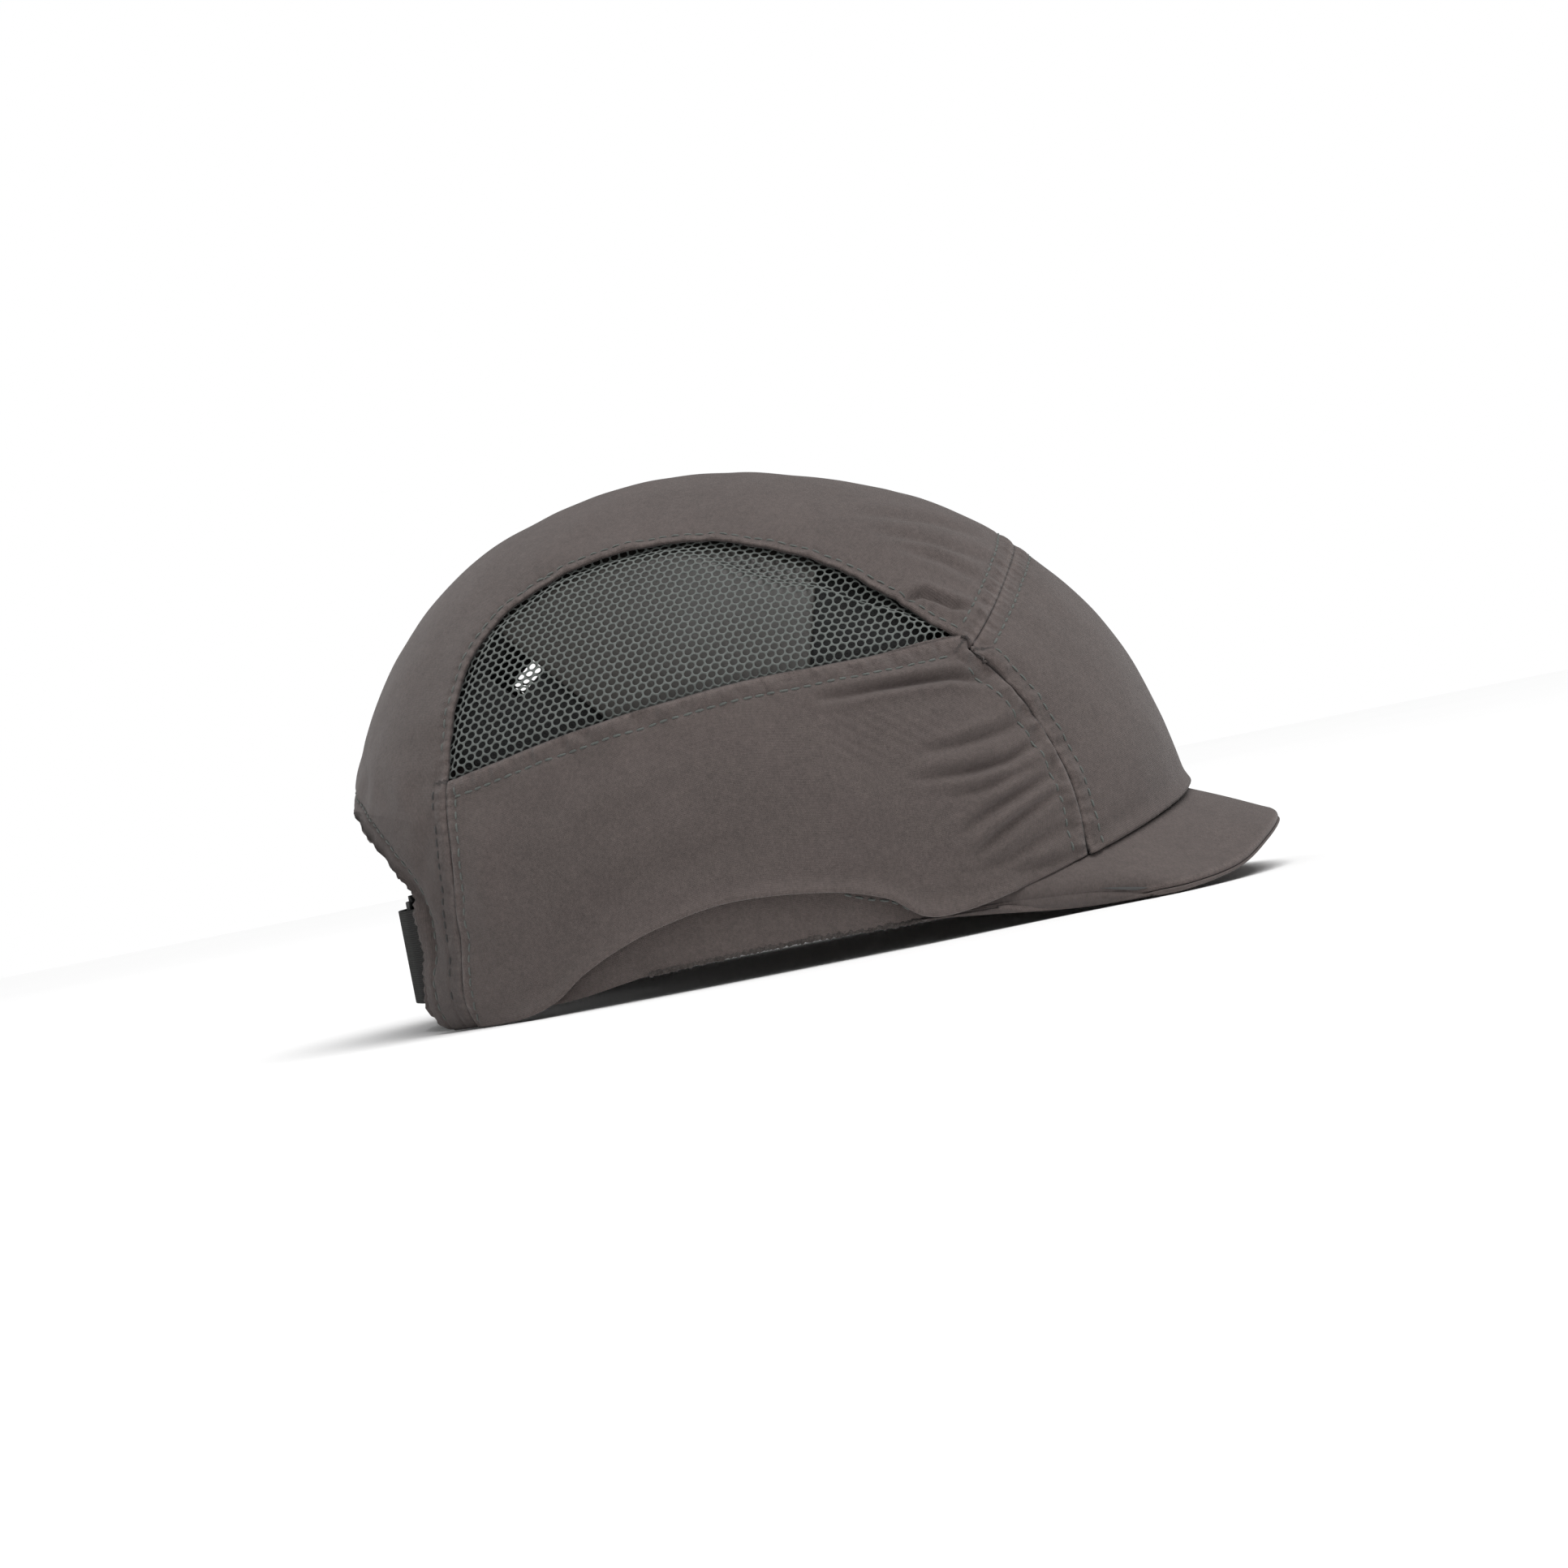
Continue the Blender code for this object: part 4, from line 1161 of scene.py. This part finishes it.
def middles(values):
    """The middle of each step between values."""
    return (values[1:] + values[:-1]) / 2


def add_pads():
    """The foam pads inside the shell."""
    for name, low, high, wide in MIDDLE_PADS:
        station = np.linspace(low, high, int((high - low) * 0.9) + 8)
        share = np.linspace(-wide, wide, int(wide * 95))
        pillow(name, station, share, None, 0.0035, 81)
    station = spaced((SIDE_PAD_STATIONS[0], *SLIT_STATIONS, SIDE_PAD_STATIONS[1]), (60, 8, 14))
    share = spaced((SIDE_PAD_SHARES[0], *SLIT_SHARES, SIDE_PAD_SHARES[1]), (11, 8, 13))
    along, across = middles(station)[:, None], middles(share)[None, :]
    slit = (along > SLIT_STATIONS[0]) & (along < SLIT_STATIONS[1])
    slit = slit & (across > SLIT_SHARES[0]) & (across < SLIT_SHARES[1])
    for word, side in SIDES:
        pillow("side_pad_" + word, station, side * share, ~slit, 0.0030, 83)


def add_shell():
    """The vented bump shell."""
    station = spaced((SHELL_STATIONS[0], *FRONT_BAY, REAR_BAY_STATION, SHELL_STATIONS[1]), (20, 18, 30, 14))
    half = spaced((0, REAR_BAY_SHARE, FRONT_BAY_SHARE, SHELL_EDGE_SHARE), (20, 4, 16))
    share = np.concatenate((-half[:0:-1], half))
    along, across = middles(station)[:, None], np.abs(middles(share))[None, :]
    front_bay = (along > FRONT_BAY[0]) & (along < FRONT_BAY[1]) & (across > FRONT_BAY_SHARE)
    rear_bay = (along > REAR_BAY_STATION) & (across > REAR_BAY_SHARE)
    points = skin(station[:, None], share[None, :])
    points = points - outward(points) * SHELL_DEPTH
    faces = grid_faces(points, ~front_bay & ~rear_bay)
    item = make_object("bump_shell", *used_only(points.reshape(-1, 3), faces), centre=INSIDE)
    thicken(item, SHELL, bevel=0.0006)
    place(item, "shell_plastic", ["bump_shell"])


# ---- peak

def peak_radius(angle):
    """Half the peak's thickness, which fades out at both ends."""
    closing = np.clip((PEAK_SWEEP_DEGREES - np.abs(angle)) / (PEAK_SWEEP_DEGREES - PEAK_END_ANGLE), 0, 1)
    return PEAK_THICKNESS / 2 * (0.35 + 0.65 * np.sqrt(closing))


def peak_grid(angle, out):
    """Points of the peak's top face: out is 0 at the rim and 1 at the edge."""
    turn = np.radians(angle)
    inner_x = PEAK_HALF_WIDTH * np.sin(turn)
    inner_z = rim_z(inner_x)
    inner_s = HUB_S + complement(inner_x / half_width(PEAK_START_S, inner_z)) * OUTLINE[0][1]
    inner = np.stack((inner_x, -inner_s, inner_z), -1)
    inner = inner - PEAK_RIM_DEPTH * outward(inner)
    power = 2 / PEAK_SQUARENESS
    edge_share = np.abs(np.sin(turn)) ** power
    edge_s = PEAK_START_S + PEAK_REACH * np.cos(turn) ** power
    edge_z = smooth(PEAK_EDGE, edge_share) + 2 * peak_radius(angle)
    tucked = np.clip((np.abs(angle) - PEAK_TUCK_ANGLE) / (PEAK_SWEEP_DEGREES - PEAK_TUCK_ANGLE), 0, 1)
    tucked = tucked * tucked * (3 - 2 * tucked)
    hidden_x = np.abs(skin_over(edge_s, edge_z, 1.0)[:, 0]) - PEAK_END_DEPTH
    edge_x = np.sign(angle) * (PEAK_HALF_WIDTH * edge_share * (1 - tucked) + hidden_x * tucked)
    edge = np.stack((edge_x, -edge_s, edge_z), -1)
    return inner[None] + (edge - inner)[None] * out[:, None, None]


def peak_normals(points, angle):
    """Upward unit normals of the peak's top face, which are upright at both ends."""
    normal = unit(np.cross(np.gradient(points, axis=0), np.gradient(points, axis=1)))
    start, end = PEAK_UPRIGHT_ANGLES
    upright = np.clip((np.abs(angle) - start) / (end - start), 0, 1)[None, :, None]
    return normal * np.sign(normal[..., 2:]) * (1 - upright) + np.array((0, 0, 1)) * upright


def peak_cover(points, normal, angle, sign):
    """One cover, top or underside: its face, then a quarter turn round the edge."""
    radius = peak_radius(angle)[:, None]
    edge, up = points[-1], normal[-1]
    beyond = unit(np.gradient(points, axis=0)[-1])
    face = points[:-1] - normal[:-1] * (0 if sign > 0 else 2 * radius[None])
    face = face[length(points[:-1] - edge).mean(1) > PEAK_COVER_INSET]
    centre = edge - up * radius - beyond * radius
    turns = np.radians(np.linspace(12, 86, 8))
    curve = [centre + up * radius * math.cos(t) * sign + beyond * radius * math.sin(t) for t in turns]
    return np.concatenate((face, np.stack(curve)))


def add_peak():
    """The peak's two covers, rolled together round its edge, and its board."""
    angle = np.linspace(-PEAK_SWEEP_DEGREES, PEAK_SWEEP_DEGREES, 261)
    points = peak_grid(angle, np.linspace(0, 1, 60) ** 0.92)
    normal = peak_normals(points, angle)
    for name, sign, seed in (("peak_top_cover", 1, 91), ("peak_under_cover", -1, 93)):
        cover = peak_cover(points, normal, angle, sign)
        from_edge = np.arange(len(cover))[::-1, None]
        height = 0.00018 * drape(cover, 0.02, seed) * np.clip(from_edge / 14, 0, 1)
        wear = bell(from_edge - 5, 3.0) * np.ones(cover.shape[:-1])
        shape = cover + np.array((0, 0, sign)) * height[..., None]
        centre = shape.mean((0, 1)) - np.array((0, 0, sign * 0.02))
        item = make_object(name, shape, None, arc_lengths(cover), centre, wear=wear)
        thicken(item, PEAK_COVER)
        place(item, "cap_cloth", [name])
    inside = np.abs(angle) < PEAK_BOARD_ANGLE
    board = points[3:-5, inside] - normal[3:-5, inside] * (PEAK_COVER + 0.0002)
    item = make_object("peak_board", board, centre=board.mean((0, 1)) - (0, 0, 0.02))
    thicken(item, PEAK_BOARD, bevel=0.0003)
    place(item, "peak_board", ["peak_board"])


# ---- strap

def strap_place(angle, radius, z):
    """A point of the strap: the angle is 0 at the back and positive to the left."""
    turn = np.radians(angle)
    x, y, z = np.broadcast_arrays(radius * np.sin(turn), -STRAP_AXIS_S + radius * np.cos(turn), z)
    return np.stack((x, y, z), -1)


def strap_band(name, radius, thickness, ends, low_z, width, round_end=0.0):
    """A curved strip of the strap, round at its second end."""
    start, end = ends
    long = math.radians(abs(end - start)) * radius
    angle = np.linspace(start, end, max(8, int(long / 0.0010)))
    along = np.radians(angle) * radius
    tuck = np.zeros(len(angle))
    if round_end:
        tuck = round_end * round_off(np.abs(along - along[-1]) / round_end)
    z = low_z + tuck[:, None] + (width - 2 * tuck)[:, None] * np.linspace(0, 1, 28)
    ripple = 0.00012 * np.array([noise.noise(Vector((a * 0.35, 3.1, radius * 900))) for a in angle])
    points = strap_place(angle[:, None], radius + ripple[:, None], z)
    flat = np.stack(np.broadcast_arrays(along[:, None], z), -1)
    item = make_object(name, points, None, flat, (0, -STRAP_AXIS_S, 0.02))
    thicken(item, thickness, bevel=0.3 * thickness)
    return item


def add_outer_strap():
    """The right half of the strap and its tab, as one sheet."""
    ends = (-STRAP_HIDDEN_END, TAB_END)
    outer = strap_band("outer_strap", STRAP_RADIUS, STRAP_CLOTH, ends, STRAP_LOW_Z, STRAP_WIDTH,
                       STRAP_ROUND_END)
    final = bpy.data.meshes.new_from_object(outer.evaluated_get(bpy.context.evaluated_depsgraph_get()))
    final.materials.clear()
    final.materials.append(finishes["webbing"])
    outer.modifiers.clear()
    outer.data = final
    middle = (STRAP_RADIUS - STRAP_CLOTH / 2, STRAP_LOW_Z + STRAP_WIDTH / 2)
    start = tuple(strap_place(-TAB_FOLD - TAB_FOLD_SPREAD, *middle))
    end = tuple(strap_place(-TAB_FOLD + TAB_FOLD_SPREAD, *middle))
    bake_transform(outer)
    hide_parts("right_strap", "strap_tab")


def add_inner_strap():
    """The left half of the strap, and the touch-and-close patches between the halves."""
    hook_radius = STRAP_RADIUS - STRAP_CLOTH - GAP
    loop_radius = hook_radius - STRAP_PILE - GAP
    inner_radius = loop_radius - STRAP_PILE - GAP
    low_z = STRAP_LOW_Z + INNER_STRAP_DROP
    width = STRAP_WIDTH - 2 * PATCH_MARGIN
    hook = strap_band("hook_patch", hook_radius, STRAP_PILE, (1.0, TAB_END - 1.0),
                      STRAP_LOW_Z + PATCH_MARGIN, width, PATCH_ROUND_END)
    place(hook, "hook_pile", ["hook_patch"], "strap_tab")
    loop = strap_band("loop_patch", loop_radius, STRAP_PILE, (1.0 - INNER_STRAP_END, TAB_END + 6.0),
                      low_z + PATCH_MARGIN, width)
    place(loop, "loop_pile", ["loop_patch"], "left_strap")
    inner = strap_band("left_strap", inner_radius, STRAP_CLOTH, (STRAP_HIDDEN_END, -INNER_STRAP_END),
                       low_z, STRAP_WIDTH, STRAP_ROUND_END)
    place(inner, "webbing", ["left_strap"], "left_strap")


# ---- studio

def add_camera():
    """The camera, level with the cap and rolled."""
    camera = bpy.data.cameras.new("camera")
    camera.lens = CAMERA_LENS
    camera.sensor_width = CAMERA_SENSOR
    camera.clip_start = 0.01
    item = link("camera", camera)
    c, s = math.cos(math.radians(CAMERA_ROLL)), math.sin(math.radians(CAMERA_ROLL))
    turn = Matrix(((0, 0, -1), (-c, -s, 0), (-s, c, 0))).to_4x4()
    item.matrix_world = Matrix.Translation(CAMERA_PLACE) @ turn
    bpy.context.scene.camera = item


def add_floor():
    """The plain pale floor."""
    steps = np.linspace(-FLOOR_REACH, FLOOR_REACH, 9)
    points = np.array([[(x, y, FLOOR_Z) for x in steps] for y in steps])
    floor = make_object("floor", points, centre=(0, 0, -1))
    t = Tree("floor", (1.0, 1.0, 1.0), 0.9)
    t.colour(t.noise(t.solid(), 2.0, 2.0), (0.93, 0.96))
    floor.data.materials.append(t.material)


def add_surroundings():
    """Pale surroundings, which look white and light the cap less strongly than that."""
    world = bpy.data.worlds.new("studio")
    world.use_nodes = True
    tree = world.node_tree
    backdrop = tree.nodes["Background"]
    backdrop.inputs["Color"].default_value = (1, 1, 1, 1)
    seen = tree.nodes.new("ShaderNodeLightPath")
    level = tree.nodes.new("ShaderNodeMapRange")
    level.inputs["To Min"].default_value = AMBIENT
    level.inputs["To Max"].default_value = 1.0
    tree.links.new(seen.outputs["Is Camera Ray"], level.inputs["Value"])
    tree.links.new(level.outputs["Result"], backdrop.inputs["Strength"])
    bpy.context.scene.world = world


def add_lamp(name, kind, stands_at, aims_at, power):
    """A light that shines from one place towards another."""
    light = bpy.data.lights.new(name, kind)
    light.energy = power
    lamp = link(name, light)
    lamp.location = stands_at
    lamp.rotation_euler = (Vector(aims_at) - Vector(stands_at)).to_track_quat("-Z", "Y").to_euler()
    return light


def add_studio():
    """Camera, floor and soft light."""
    add_camera()
    add_floor()
    add_surroundings()
    for name, stands_at, size, power in LIGHTS:
        add_lamp(name, "AREA", stands_at, LIGHTS_AIM, power).size = size
    add_lamp("sky", "SUN", SUN_PLACE, (0, 0, 0), SUN).angle = math.radians(SUN_DEGREES)
    bpy.context.scene.view_settings.view_transform = "Standard"


finishes = make_materials()
add_studio()
add_front_panel()
add_crown_panel()
for side_word, side_sign in SIDES:
    add_side_panel(side_word, side_sign)
    add_net(side_word, side_sign)
    add_ear_band(side_word, side_sign)
    add_terry_edge(side_word, side_sign)
add_sweatband()
add_seam_tapes()
add_arch_elastic()
add_shell()
add_pads()
add_peak()
add_outer_strap()
add_inner_strap()
add_stitching()
